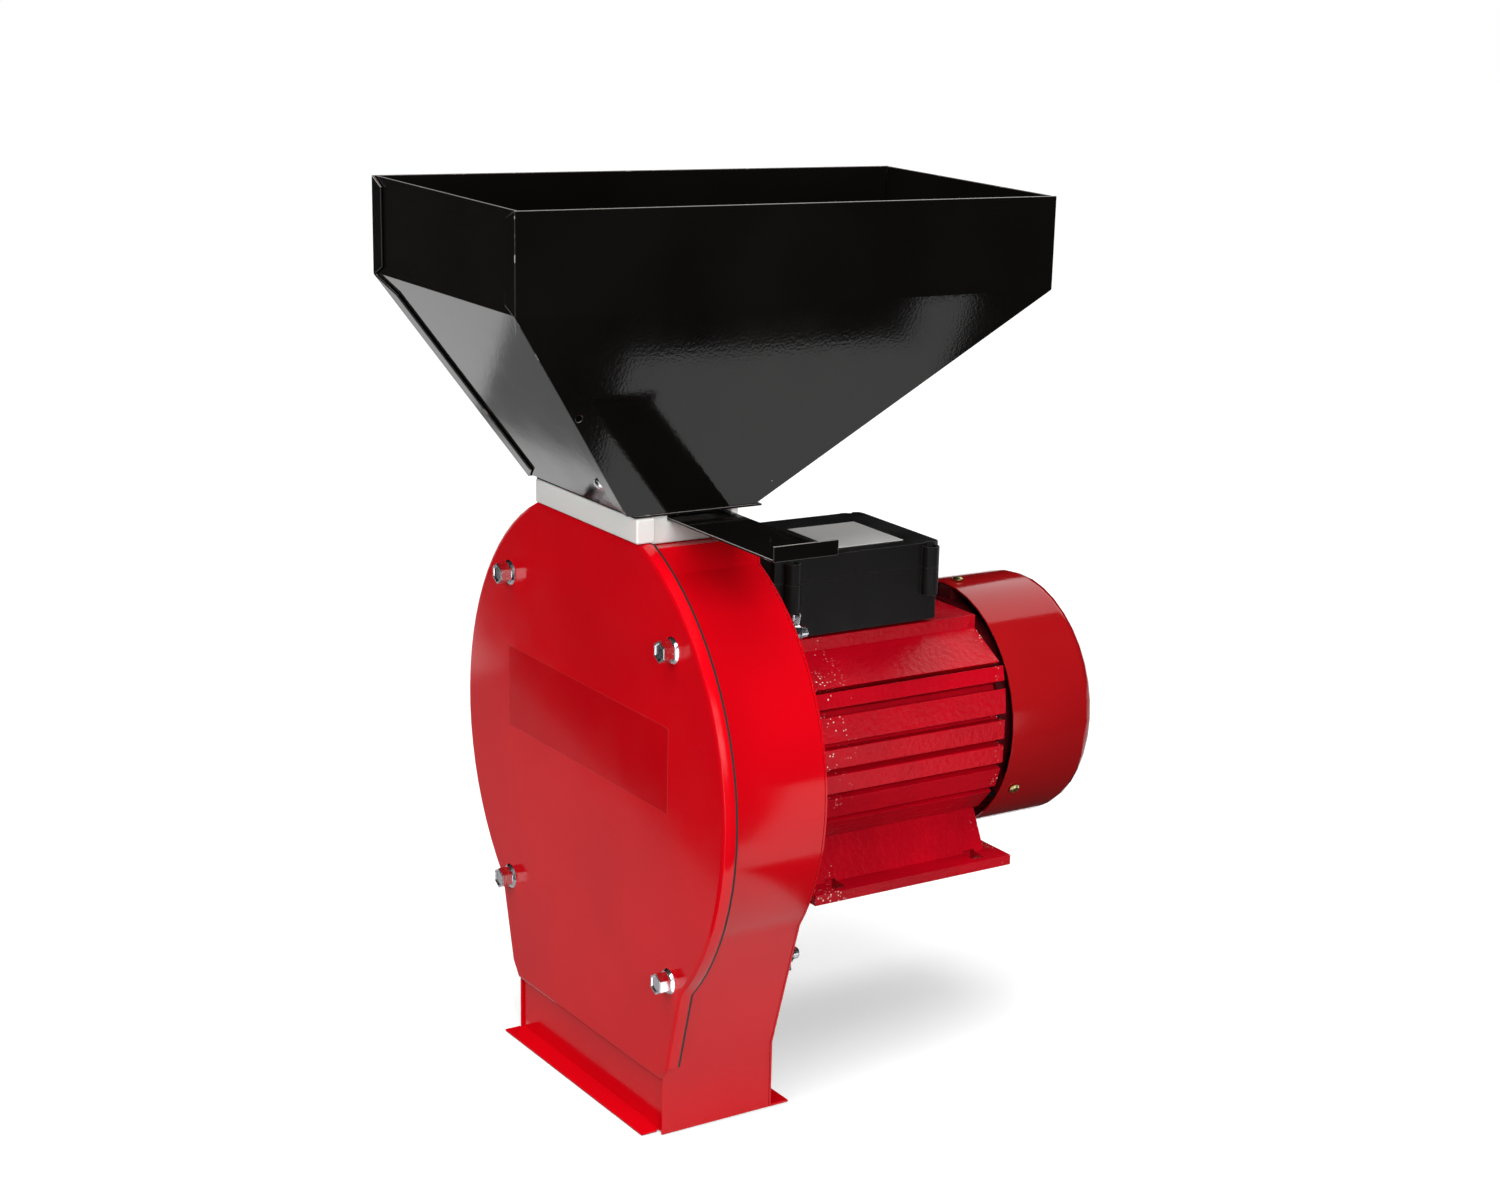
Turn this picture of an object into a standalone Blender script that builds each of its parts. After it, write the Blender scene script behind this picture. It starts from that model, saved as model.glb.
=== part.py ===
"""Hammer mill on a foot-mounted motor: sheet-metal casing, hopper, feed gate and swing-hammer rotor.

Metres, +Z up.  +Y runs from the cover back to the motor fan and X runs across the mill.  The origin is the
middle of the underside of the motor feet.  Most places are given as a depth behind the cover's face and a
height above the outlet flange, and place() turns them into the model's frame.
"""

import math

import bmesh
import bpy

# Layout
GAP = 0.0003                 # left between pieces that touch
OUTLET_DROP = 0.135          # outlet flange below the underside of the feet
SHAFT_HEIGHT = OUTLET_DROP + 0.0995  # shaft centre above the outlet flange
SHAFT = (0.0, SHAFT_HEIGHT)

# Casing
SHEET = 0.0015               # thickness of the red sheet
CASING_DEPTH = 0.088         # cover face to the back of the rear plate
COVER_RADIUS = 0.179
TOP_GAP = 0.0017             # between the cover's rim and the flat top of the casing wrap
COVER_TOP = SHAFT_HEIGHT + 0.1635  # flat top of the cover
COVER_RIM = 0.0095           # how far the rim is bent back
RIM_BEND = 0.0045
RIM_START = 0.052            # below this height the cover is flat, to clear the outlet
COVER_SHOULDER = 0.128       # half width where the round side turns into the straight one
COVER_FOOT = (0.103, 0.039)  # half width and height of the cover's lower corners
COVER_KNEE = (0.112, 0.050)
WRAP_RADIUS = 0.1605         # the casing wrap stands in from the cover's round side
WRAP_FLAT = 0.070            # half width of its flat top
WRAP_START = WRAP_FLAT + 0.003  # half width where its round side starts
WRAP_SHOULDER = 0.1325       # half width where its round side turns into the straight one
SKIRT_HALF = 0.1024          # half width of the outlet
SKIRT_TOP = 0.048
SKIRT_INSET = 0.0042         # outlet's front plate behind the cover face
OUTLET_FLANGE = 0.014        # width of the flanges along the outlet
FLANGE_NOTCH = 0.006         # the front flange stops short of the right side by this
ARC_STEPS = 24               # sides of each long casing arc

# Cover bolts and wing nuts, M8
BOLT_RADIUS = 0.004
BOLT_PLACES = ((0.1115, 0.3395), (0.112, 0.115))
BOLT_FLANGE_RADIUS = BOLT_RADIUS + 0.005
BOLT_FLANGE = 0.0018
BOLT_HEX = 0.013
BOLT_HEAD = 0.0095
BOLT_CROWN = 0.86            # flat top of the head, as a share of its width
BOLT_END = CASING_DEPTH + 0.0125  # depth that the bolts reach
WING_COLLAR_RADIUS = BOLT_RADIUS + 0.0028
WING_SPAN = 0.012
WING_THICKNESS = 0.0036
WING_NUT_LENGTH = 0.0055

# Screen and inlet chute
SCREEN_RADIUS = 0.137        # inside
SCREEN_DEPTH = (0.004, CASING_DEPTH - 0.0045)
SCREEN_OPEN = 25.0           # half angle, in degrees, that is open at the top
SCREEN_STEPS = 36
RING_WALL = 0.002
RING_LENGTH = 0.006
CHUTE_HALF = 0.0515
CHUTE_WALL = 0.0012
CHUTE_BOTTOM = SHAFT_HEIGHT + 0.1275
CHUTE_MARGIN = 0.0015        # front and back of the chute to the casing's inside

# Neck block and feed gate
NECK_HALF = 0.061
NECK_TOP = COVER_TOP + 0.0165
BAR_HALF = 0.069
BAR_FRONT = -0.002
BAR_BACK = 0.0115
GATE_SHEET = 0.0015
GATE_FRONT = 0.0255
GATE_WIDTH = CASING_DEPTH - 0.041
NECK_BACK = GATE_FRONT + GATE_WIDTH + 0.0055
THROAT = (0.048, GATE_FRONT + 0.0025, GATE_FRONT + GATE_WIDTH - 0.0025)  # half width, front, back
GATE_LENGTH = 0.138
GATE_TRAVEL = 0.098
GATE_LIP = 0.0100
GATE_FLOOR = NECK_TOP - 0.0047  # height of the channel that the gate slides in
GATE_OVERLAP = 0.001         # the closed gate reaches this far past the throat

# Hopper
HOPPER_SHEET = 0.0012
HOPPER_HALF = 0.099
HOPPER_FRONT = -0.1016
HOPPER_LENGTH = 0.400
HOPPER_OUTLET = NECK_TOP + 0.0021
HOPPER_FOLD = HOPPER_OUTLET + 0.1346
HOPPER_TOP = HOPPER_FOLD + 0.0626
OUTLET_HALF = 0.067
OUTLET_FRONT = -0.0081
OUTLET_BACK = CASING_DEPTH - 0.0006
HOPPER_FLANGE = 0.013        # width of the side panels' end flanges
FLANGE_CHAMFER = 0.006
HOPPER_PLAY = 0.0008         # between the end panels and the side panels
HOPPER_BASE_BACK = OUTLET_BACK + 0.0046
HOPPER_SCREW = (0.0515, HOPPER_OUTLET + 0.0194)  # across, and up along the front panel
SCREW_RADIUS = 0.002
SCREW_HEAD_RADIUS = 0.0042
SCREW_HEAD = 0.0026
SCREW_CROWN = 0.6            # flat top of a screw's head, as a share of its radius
SCREW_LENGTH = 0.0072

# Rotor
SHAFT_RADIUS = 0.012
SHAFT_CLEARANCE = 0.004      # round the shaft where it passes through the plates
HUB_RADIUS = SHAFT_RADIUS + 0.008
DISC = 0.004
DISC_FRONT = 0.014           # depth of the first disc
BAY = (CASING_DEPTH - SHEET - DISC_FRONT - 3 * DISC - 0.0125) / 2  # free space between discs
PIN_CIRCLE = 0.070
DISC_RADIUS = PIN_CIRCLE + 0.015
PIN_RADIUS = 0.005
PIN_HEAD_RADIUS = PIN_RADIUS + 0.003
PIN_HEAD = 0.003
HAMMER_REACH = SCREEN_RADIUS - PIN_CIRCLE - 0.012  # pin centre to the hammer's tip
HAMMER_WIDTH = 0.024
HAMMER_THICKNESS = 0.006
HAMMER_BUSH_RADIUS = PIN_RADIUS + 0.004
HAMMER_PLAY = 0.0004
ROTOR_SCREW_RADIUS = 0.004
ROTOR_SCREW_LENGTH = 0.022
ROTOR_WASHER_RADIUS = 0.016
ROTOR_WASHER = 0.003
ROTOR_HEX = 0.013
ROTOR_HEX_HEIGHT = 0.0045

# Motor
HOUSING = (CASING_DEPTH + 0.016, CASING_DEPTH + 0.199)  # depth of its front and back
HOUSING_BORE = 0.0703
FRAME_RADIUS = 0.078         # body between the ribs
SEAT_HALF = 0.046            # flat on top, for the terminal box
SEAT_HEIGHT = SHAFT_HEIGHT + 0.078
RIB_FACES = (                # edges of each rib's outer face: half width and height over the shaft
    ((0.0460, 0.0685), (0.0770, 0.0510)),
    ((0.0815, 0.0495), (0.0840, 0.0390)),
    ((0.0855, 0.0335), (0.0875, 0.0155)),
    ((0.0870, 0.0105), (0.0870, -0.0035)),
    ((0.0865, -0.0085), (0.0865, -0.0215)),
    ((0.0845, -0.0265), (0.0790, -0.0415)),
    ((0.0750, -0.0465), (0.0600, -0.0625)),
)
STATOR = (HOUSING[0] + 0.036, HOUSING[1] - 0.047)
STATOR_BORE = 0.052
WINDING_BORE = 0.047
WINDING_RADIUS = HOUSING_BORE - 0.0043
WINDING_OVERHANG = 0.018
AIR_GAP = 0.001
CORE_SHAFT_RADIUS = SHAFT_RADIUS + 0.003
BEARING_BORE_RADIUS = SHAFT_RADIUS + 0.0005
BEARING_RADIUS = SHAFT_RADIUS + 0.014
BEARING_WIDTH = 0.015
FRONT_BEARING = CASING_DEPTH + 0.004
REAR_BEARING = HOUSING[1] - 0.0108
SHIELD_FRONT = CASING_DEPTH + 0.0008
SPIGOT = 0.008
SHIELD_WALL = 0.012
LUG_WIDTH = 0.014
LUG_END = HOUSING[1] + 0.024
FOOT_HALF = 0.090            # half width over the feet
FOOT_INNER = 0.052
FOOT = (HOUSING[0] + 0.024, HOUSING[1] + 0.009)
COVER_REACH = (FOOT[0] + FOOT[1]) / 2     # cover face in front of the middle of the feet
FOOT_THICKNESS = 0.0076
FOOT_WEB = (HOUSING[0] + 0.030, HOUSING[1] - 0.002)
LEG = ((0.056, 0.0385), (0.050, 0.0420), (0.046, 0.0370))   # top of the leg: half width, height over the feet
LEG_FOOT = (0.058, 0.072)    # inner and outer edge of the leg on the foot
FOOT_SLOT = (0.075, 0.060)   # half spacing across and along
FOOT_SLOT_WIDTH = 0.010
FOOT_SLOT_LENGTH = 0.018
LEAD_HOLE = (HOUSING[0] + 0.046, 0.009)  # depth and radius of the wire passage into the box

# Fan and fan cover
FAN_HUB_RADIUS = SHAFT_RADIUS + 0.006
FAN = (HOUSING[1] + 0.035, HOUSING[1] + 0.058)
FAN_BLADES = 8
FAN_BLADE = 0.0030
FAN_SHAFT_RADIUS = SHAFT_RADIUS - 0.003
FAN_COVER_RADIUS = SHAFT_HEIGHT - OUTLET_DROP - FOOT_THICKNESS - 0.0009
FAN_RADIUS = FAN_COVER_RADIUS - 0.015
SHIELD_RADIUS = FAN_COVER_RADIUS - 0.011
FAN_COVER_SHEET = 0.0012
FAN_COVER = (HOUSING[1] + 0.005, HOUSING[1] + 0.081)
FAN_COVER_BEND = 0.011
FAN_COVER_SCREW_DEPTH = HOUSING[1] + 0.017
GRILLE = (0.026, FAN_COVER_RADIUS - 0.021)  # inner and outer radius of the air slots
GRILLE_SLOTS = 16
GRILLE_SLOT_WIDTH = 0.0055

# Terminal box
BOX_HALF = 0.051
BOX = (HOUSING[0] + 0.009, HOUSING[1] - 0.037)
BOX_BOTTOM = SEAT_HEIGHT + 0.0035
BOX_SPLIT = BOX_BOTTOM + 0.039
BOX_TOP = BOX_SPLIT + 0.0165
BOX_WALL = 0.0025
BOX_CORNER = 0.005
BOX_PAD = 0.010              # the raised pad under the box is smaller than the box all round
POST_RADIUS = 0.0062
POST_PLACES = (BOX[0] + 0.013, BOX[1] - 0.010)
POST_OUT = 0.0020            # post centres outside the box wall
POST_BOTTOM = BOX_SPLIT - 0.020
POST_TOP = BOX_TOP - 0.002
LID_SCREW_SEAT = BOX_SPLIT + 0.005
LID_SCREW_BOTTOM = BOX_SPLIT - 0.013
START_CAPACITOR = (0.021, 0.085, 0.024)   # radius, length and place across
RUN_CAPACITOR = (0.018, 0.070, -0.024)
CAPACITOR_FRONT = BOX[0] + 0.009
GLAND = (BOX[1] - 0.028, BOX_BOTTOM + 0.020)  # depth and height
GLAND_RADIUS = 0.0095
GLAND_LENGTH = 0.012
GLAND_THREAD_RADIUS = 0.0065
GLAND_BORE_RADIUS = 0.0038

RED = (0.60, 0.012, 0.015)
MOTOR_RED = (0.42, 0.010, 0.018)
BLACK = (0.012, 0.012, 0.013)
ZINC = (0.62, 0.63, 0.65)
YELLOW_ZINC = (0.60, 0.48, 0.20)
STEEL = (0.45, 0.45, 0.46)
WHITE = (0.85, 0.84, 0.82)
COPPER = (0.62, 0.28, 0.12)
ALUMINIUM = (0.55, 0.56, 0.58)


def material(name, colour, roughness, metallic=0.0):
    made = bpy.data.materials.get(name) or bpy.data.materials.new(name)
    made.use_nodes = True
    shader = made.node_tree.nodes["Principled BSDF"]
    shader.inputs["Base Color"].default_value = (*colour, 1.0)
    shader.inputs["Roughness"].default_value = roughness
    shader.inputs["Metallic"].default_value = metallic
    return made


def place(across, depth, height):
    """A point of the model from its place across, depth behind the cover and height above the outlet."""
    return (across, depth - COVER_REACH, height - OUTLET_DROP)


def add_object(name, build, finish, hidden=False):
    """An object from build(bm), with its normals outwards; finish is a material, or None on a cutter."""
    bm = bmesh.new()
    build(bm)
    bmesh.ops.recalc_face_normals(bm, faces=bm.faces)
    mesh = bpy.data.meshes.new(name)
    bm.to_mesh(mesh)
    bm.free()
    made = bpy.data.objects.new(name, mesh)
    bpy.context.collection.objects.link(made)
    if finish:
        mesh.materials.append(finish)
    mesh.shade_smooth()
    mesh.set_sharp_from_angle(angle=math.radians(30))
    if hidden:
        made.hide_render = True
        made.display_type = "WIRE"
    return made


def join_rings(bm, rings, capped=True):
    """Sides between rings of as many points each, with the ends capped or joined to each other."""
    made = [[bm.verts.new(point) for point in ring] for ring in rings]
    pairs = list(zip(made, made[1:]))
    if not capped:
        pairs.append((made[-1], made[0]))
    for first, second in pairs:
        for i in range(len(first)):
            j = (i + 1) % len(first)
            bm.faces.new((first[i], first[j], second[j], second[i]))
    if capped:
        bm.faces.new(made[0])
        bm.faces.new(made[-1])


def lofted(name, rings, finish, capped=True, hidden=False):
    return add_object(name, lambda bm: join_rings(bm, rings, capped), finish, hidden)


def fill(bm, loops):
    """A flat face within the first loop of vertices and outside the others."""
    edges = []
    for loop in loops:
        for first, second in zip(loop, loop[1:] + loop[:1]):
            edges.append(bm.edges.get((first, second)) or bm.edges.new((first, second)))
    bmesh.ops.triangle_fill(bm, edges=edges, use_beauty=True)


def pierced(name, rings, holes, finish):
    """A plate or pressed sheet: rings run round its edge, and each hole joins its first face to its last."""

    def build(bm):
        made = [[bm.verts.new(point) for point in ring] for ring in rings]
        for first, second in zip(made, made[1:]):
            for i in range(len(first)):
                j = (i + 1) % len(first)
                bm.faces.new((first[i], first[j], second[j], second[i]))
        walls = []
        for near, far in holes:
            near = [bm.verts.new(point) for point in near]
            far = [bm.verts.new(point) for point in far]
            for i in range(len(near)):
                j = (i + 1) % len(near)
                bm.faces.new((near[i], near[j], far[j], far[i]))
            walls.append((near, far))
        fill(bm, [made[0]] + [near for near, far in walls])
        fill(bm, [made[-1]] + [far for near, far in walls])

    return add_object(name, build, finish)


def polar(radius, degrees, centre):
    """The point at a radius from the centre, in degrees from the first axis."""
    angle = math.radians(degrees)
    return (centre[0] + radius * math.cos(angle), centre[1] + radius * math.sin(angle))


def circle(radius, sides, centre=(0.0, 0.0), start=0.0):
    step = 2 * math.pi / sides
    return [
        (centre[0] + radius * math.cos(start + i * step), centre[1] + radius * math.sin(start + i * step))
        for i in range(sides)
    ]


def hexagon(across_flats, sides, centre):
    """A hexagon with as many points as a circle of that many sides, so that the two can be joined."""
    points = []
    for i in range(sides):
        degrees = 360 * i / sides
        from_flat = math.radians((degrees + 30) % 60 - 30)
        points.append(polar(across_flats / 2 / math.cos(from_flat), degrees, centre))
    return points


def at_depth(points, depth):
    return [place(x, depth, z) for x, z in points]


def at_height(points, height):
    return [place(x, depth, height) for x, depth in points]


def turned(name, profile, finish, centre=SHAFT, sides=32, capped=True, hidden=False):
    """A piece turned about an axis along Y: profile lists radius and depth."""
    rings = [at_depth(circle(radius, sides, centre), depth) for radius, depth in profile]
    return lofted(name, rings, finish, capped, hidden)


def upright(name, profile, finish, centre, sides=12, capped=True, hidden=False):
    """A piece turned about an upright axis: profile lists radius and height, centre is across and depth."""
    rings = [at_height(circle(radius, sides, centre), height) for radius, height in profile]
    return lofted(name, rings, finish, capped, hidden)


def block(name, x, depth, height, finish=None, hidden=False):
    """A box from three (low, high) pairs."""
    corners = [(x[0], depth[0]), (x[1], depth[0]), (x[1], depth[1]), (x[0], depth[1])]
    return lofted(name, [at_height(corners, height[0]), at_height(corners, height[1])], finish, True, hidden)


def combine(target, other, operation):
    """A Boolean that stays on the target; the other object is a hidden helper."""
    modifier = target.modifiers.new(f"{operation.lower()} {other.name}", "BOOLEAN")
    modifier.operation = operation
    modifier.object = other
    modifier.solver = "EXACT"
    return target


def inset(points, distance, closed=True):
    """The outline moved sideways, to the right of its direction, with mitred corners."""
    moved = []
    count = len(points)
    for i, (x, z) in enumerate(points):
        before = points[i - 1] if closed or i else points[i]
        after = points[(i + 1) % count] if closed or i < count - 1 else points[i]
        normals = []
        for (ax, az), (bx, bz) in ((before, (x, z)), ((x, z), after)):
            length = math.hypot(bx - ax, bz - az)
            if length:
                normals.append(((bz - az) / length, -(bx - ax) / length))
        if len(normals) == 1:
            normals *= 2
        (ax, az), (bx, bz) = normals
        scale = distance / (1 + ax * bx + az * bz)
        moved.append((x + (ax + bx) * scale, z + (az + bz) * scale))
    return moved


def mirrored(points):
    """Points down the right side, followed by their mirror images back up the left side."""
    return points + [(-x, z) for x, z in reversed(points)]


def casing_side(radius, start, shoulder, lower):
    """The casing's right side: its round part between two half widths, then its lower points."""
    first = math.asin(start / radius)
    last = math.pi - math.asin(shoulder / radius)
    points = []
    for i in range(ARC_STEPS + 1):
        angle = first + (last - first) * i / ARC_STEPS
        points.append((radius * math.sin(angle), SHAFT_HEIGHT + radius * math.cos(angle)))
    return points + list(lower)


# What several pieces share
COVER_START = math.sqrt(COVER_RADIUS**2 - (COVER_TOP - SHAFT_HEIGHT) ** 2)
WRAP_TOP = COVER_TOP - SHEET - TOP_GAP
WRAP_FRONT = SHEET + 3 * GAP
PLATE_FRONT = CASING_DEPTH - SHEET
WRAP_BACK = PLATE_FRONT - GAP
WRAP_SIDE = [(WRAP_FLAT, WRAP_TOP)] + casing_side(
    WRAP_RADIUS, WRAP_START, WRAP_SHOULDER, ((SKIRT_HALF, SKIRT_TOP), (SKIRT_HALF, 0.0))
)
BOLTS = [(side * x, z) for side in (1, -1) for x, z in BOLT_PLACES]
PIN_CENTRES = [polar(PIN_CIRCLE, 45 + 90 * i, SHAFT) for i in range(4)]
FAN_SCREW_ANGLES = [90 + 120 * i for i in range(3)]
DISC_DEPTHS = [DISC_FRONT + i * (DISC + BAY) for i in range(3)]
ROTOR_BACK = DISC_DEPTHS[-1] + DISC


def make_cover(red):
    outline = mirrored(casing_side(COVER_RADIUS, COVER_START, COVER_SHOULDER, (COVER_KNEE, COVER_FOOT)))
    rings = []
    steps = 2
    for i in range(steps + 1):
        angle = math.pi / 2 * i / steps
        rings.append((RIM_BEND * (1 - math.sin(angle)), RIM_BEND * (1 - math.cos(angle))))
    rings.append((0.0, COVER_RIM))
    rings.append((SHEET, COVER_RIM))
    inner = RIM_BEND - SHEET
    for i in range(steps, -1, -1):
        angle = math.pi / 2 * i / steps
        rings.append((SHEET + inner * (1 - math.sin(angle)), SHEET + inner * (1 - math.cos(angle))))
    rings = [at_depth(inset(outline, distance), depth) for distance, depth in rings]
    holes = []
    for centre in BOLTS:
        loop = circle(BOLT_RADIUS + GAP, 12, centre)
        holes.append((at_depth(loop, 0.0), at_depth(loop, SHEET)))
    cover = pierced("front_cover", rings, holes, red)
    relief = block(
        "rim_relief",
        (-COVER_RADIUS, COVER_RADIUS),
        (SHEET, COVER_RIM + SHEET),
        (0.0, RIM_START),
        hidden=True,
    )
    combine(cover, relief, "DIFFERENCE")


def make_wrap(red):
    outer = WRAP_SIDE[::-1] + [(-x, z) for x, z in WRAP_SIDE]
    inner = inset(outer, -SHEET, closed=False)
    inner[0] = (inner[0][0], 0.0)
    inner[-1] = (inner[-1][0], 0.0)
    outline = outer + inner[::-1]
    wrap = lofted("casing_wrap", [at_depth(outline, WRAP_FRONT), at_depth(outline, WRAP_BACK)], red)
    half, front, back = THROAT
    opening = block(
        "wrap_opening", (-half, half), (front, back), (WRAP_TOP - 2 * SHEET, WRAP_TOP + SHEET), hidden=True
    )
    combine(wrap, opening, "DIFFERENCE")


def make_rear_plate(red):
    outline = mirrored(WRAP_SIDE)
    holes = []
    openings = [circle(BOLT_RADIUS + GAP, 12, centre) for centre in BOLTS]
    openings.append(circle(SHAFT_RADIUS + SHAFT_CLEARANCE, 24, SHAFT))
    for loop in openings:
        holes.append((at_depth(loop, PLATE_FRONT), at_depth(loop, CASING_DEPTH)))
    plate = pierced(
        "rear_plate", [at_depth(outline, PLATE_FRONT), at_depth(outline, CASING_DEPTH)], holes, red
    )
    flange = block(
        "rear_flange",
        (-SKIRT_HALF, SKIRT_HALF),
        (PLATE_FRONT, CASING_DEPTH + OUTLET_FLANGE),
        (0.0, SHEET),
        hidden=True,
    )
    combine(plate, flange, "UNION")


def make_outlet_front(red):
    """The outlet's front plate, between the casing wrap's sides, with its flange bent forwards."""
    front, back = SKIRT_INSET, SKIRT_INSET + SHEET
    top = COVER_FOOT[1] - 2 * GAP
    half = SKIRT_HALF - SHEET - GAP
    plate = block("outlet_front_plate", (-half, half), (front, back), (0.0, top), red)
    flange = block(
        "front_flange",
        (-SKIRT_HALF, SKIRT_HALF - FLANGE_NOTCH),
        (front - OUTLET_FLANGE, WRAP_FRONT - GAP),
        (0.0, SHEET),
        hidden=True,
    )
    tongue = block("front_tongue", (-half, half - FLANGE_NOTCH), (0.0, back), (0.0, SHEET), hidden=True)
    combine(plate, flange, "UNION")
    combine(plate, tongue, "UNION")


def make_bolt(number, centre, zinc, sides=12):
    """An M8 flange bolt: its head is in front of the cover, and its end shows behind the rear plate."""
    head = hexagon(BOLT_HEX, sides, centre)
    flange = circle(BOLT_FLANGE_RADIUS, sides, centre)
    shank = circle(BOLT_RADIUS, sides, centre)
    rings = [
        at_depth(circle(BOLT_HEX * BOLT_CROWN / 2, sides, centre), -BOLT_HEAD - GAP),
        at_depth(head, -BOLT_HEAD + BOLT_FLANGE / 2),
        at_depth(head, -BOLT_FLANGE - 2 * GAP),
        at_depth(flange, -BOLT_FLANGE / 2 - GAP),
        at_depth(flange, -GAP),
        at_depth(shank, -GAP),
        at_depth(shank, BOLT_END),
    ]
    lofted(f"cover_bolt_{number}", rings, zinc)


def make_wing_nut(number, centre, zinc, sides=16):
    """A wing nut with its wings upright, run on to the end of its bolt."""
    outline = []
    for i in range(sides):
        angle = math.pi * 2 * i / sides
        x = WING_COLLAR_RADIUS * math.sin(angle)
        z = WING_COLLAR_RADIUS * math.cos(angle)
        if abs(x) <= WING_THICKNESS / 2:
            z = math.copysign(WING_SPAN, z)
        outline.append((centre[0] + x, centre[1] + z))
    near = CASING_DEPTH + GAP
    far = near + WING_NUT_LENGTH
    hole = circle(BOLT_RADIUS + GAP, 12, centre)
    pierced(
        f"wing_nut_{number}",
        [at_depth(outline, near), at_depth(outline, far)],
        [(at_depth(hole, near), at_depth(hole, far))],
        zinc,
    )


def arc(radius, first, last, steps):
    """Points about the shaft from angle first to last, in degrees from +X."""
    return [polar(radius, first + (last - first) * i / steps, SHAFT) for i in range(steps + 1)]


def make_screen(steel):
    """The sizing screen is a strip rolled to an open ring, seated in a ring on the rear plate."""
    back = WRAP_BACK
    seat = SCREEN_RADIUS + SHEET + GAP
    for name, radius, wall, depths in (
        ("screen", SCREEN_RADIUS, SHEET, SCREEN_DEPTH),
        ("screen_ring", seat, RING_WALL, (back - RING_LENGTH, back)),
    ):
        first, last = SCREEN_OPEN - 270, 90 - SCREEN_OPEN
        outline = arc(radius, first, last, SCREEN_STEPS) + arc(radius + wall, last, first, SCREEN_STEPS)
        lofted(name, [at_depth(outline, depth) for depth in depths], steel)


def make_chute(red):
    """A rectangular duct under the casing's top leads the grain into the screen's opening."""
    front = WRAP_FRONT + CHUTE_MARGIN
    back = WRAP_BACK - CHUTE_MARGIN
    top = WRAP_TOP - SHEET - GAP
    rings = []
    for wall, height in ((0, CHUTE_BOTTOM), (0, top), (CHUTE_WALL, top), (CHUTE_WALL, CHUTE_BOTTOM)):
        half = CHUTE_HALF - wall
        near = front + wall
        far = back - wall
        rings.append(at_height([(-half, near), (half, near), (half, far), (-half, far)], height))
    lofted("inlet_chute", rings, red, capped=False)


def make_neck(white):
    """The white neck block sits on the casing and carries the hopper; the gate's channel crosses its top."""
    bottom = WRAP_TOP + GAP
    bar_bottom = COVER_TOP + GAP
    side = [
        (BAR_FRONT, bar_bottom),
        (BAR_BACK, bar_bottom),
        (BAR_BACK, bottom),
        (NECK_BACK, bottom),
        (NECK_BACK, NECK_TOP),
        (BAR_FRONT, NECK_TOP),
    ]
    rings = [[place(x, depth, height) for depth, height in side] for x in (-BAR_HALF, BAR_HALF)]
    neck = lofted("neck_block", rings, white)
    for side_sign in (-1, 1):
        ends = sorted((side_sign * NECK_HALF, side_sign * (BAR_HALF + BAR_HALF)))
        shoulder = block(
            f"neck_shoulder_{side_sign}",
            ends,
            (BAR_BACK, NECK_BACK + BAR_HALF),
            (bottom - SHEET, NECK_TOP + SHEET),
            hidden=True,
        )
        combine(neck, shoulder, "DIFFERENCE")
    channel = block(
        "gate_channel",
        (-NECK_HALF - BAR_HALF, NECK_HALF + BAR_HALF),
        (GATE_FRONT - GAP, GATE_FRONT + GATE_WIDTH + GAP),
        (GATE_FLOOR, NECK_TOP + SHEET),
        hidden=True,
    )
    combine(neck, channel, "DIFFERENCE")
    half, front, back = THROAT
    heights = (bottom - SHEET, NECK_TOP + SHEET)
    throat = block("neck_throat", (-half, half), (front, back), heights, hidden=True)
    combine(neck, throat, "DIFFERENCE")


def make_gate(black):
    """The feed gate is a strip with its end bent up as a pull; it is modelled drawn out to its stop."""
    start = GATE_TRAVEL - THROAT[0] - GATE_OVERLAP
    end = start + GATE_LENGTH
    low = GATE_FLOOR + GAP
    side = [
        (start, low),
        (end, low),
        (end, low + GATE_LIP),
        (end - GATE_SHEET, low + GATE_LIP),
        (end - GATE_SHEET, low + GATE_SHEET),
        (start, low + GATE_SHEET),
    ]
    depths = (GATE_FRONT, GATE_FRONT + GATE_WIDTH)
    rings = [[place(x, depth, height) for x, height in side] for depth in depths]
    lofted("feed_gate", rings, black)


def hopper_half(height):
    """Outside half width of the hopper at a height."""
    if height >= HOPPER_FOLD:
        return HOPPER_HALF
    share = (height - HOPPER_OUTLET) / (HOPPER_FOLD - HOPPER_OUTLET)
    return OUTLET_HALF + share * (HOPPER_HALF - OUTLET_HALF)


def hopper_end(height, rear):
    """Outside depth of the hopper's front or rear at a height."""
    top = HOPPER_FRONT + (HOPPER_LENGTH if rear else 0.0)
    bottom = OUTLET_BACK if rear else OUTLET_FRONT
    if height >= HOPPER_FOLD:
        return top
    share = (height - HOPPER_OUTLET) / (HOPPER_FOLD - HOPPER_OUTLET)
    return bottom + share * (top - bottom)


def folded_sheet(name, faces, outward, finish):
    """A sheet from flat faces on its outside; its thickness goes inwards, away from the outward point."""

    def build(bm):
        made = {}
        for face in faces:
            for point in face:
                if point not in made:
                    made[point] = bm.verts.new(point)
            bm.faces.new([made[point] for point in face])

    sheet = add_object(name, build, finish)
    mesh = sheet.data
    first = mesh.polygons[0]
    away = sum((first.center[i] - outward[i]) * first.normal[i] for i in range(3))
    if away < 0:
        mesh.flip_normals()
    thickness = sheet.modifiers.new("sheet thickness", "SOLIDIFY")
    thickness.thickness = HOPPER_SHEET
    thickness.offset = -1.0
    thickness.use_even_offset = True
    return sheet


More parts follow.
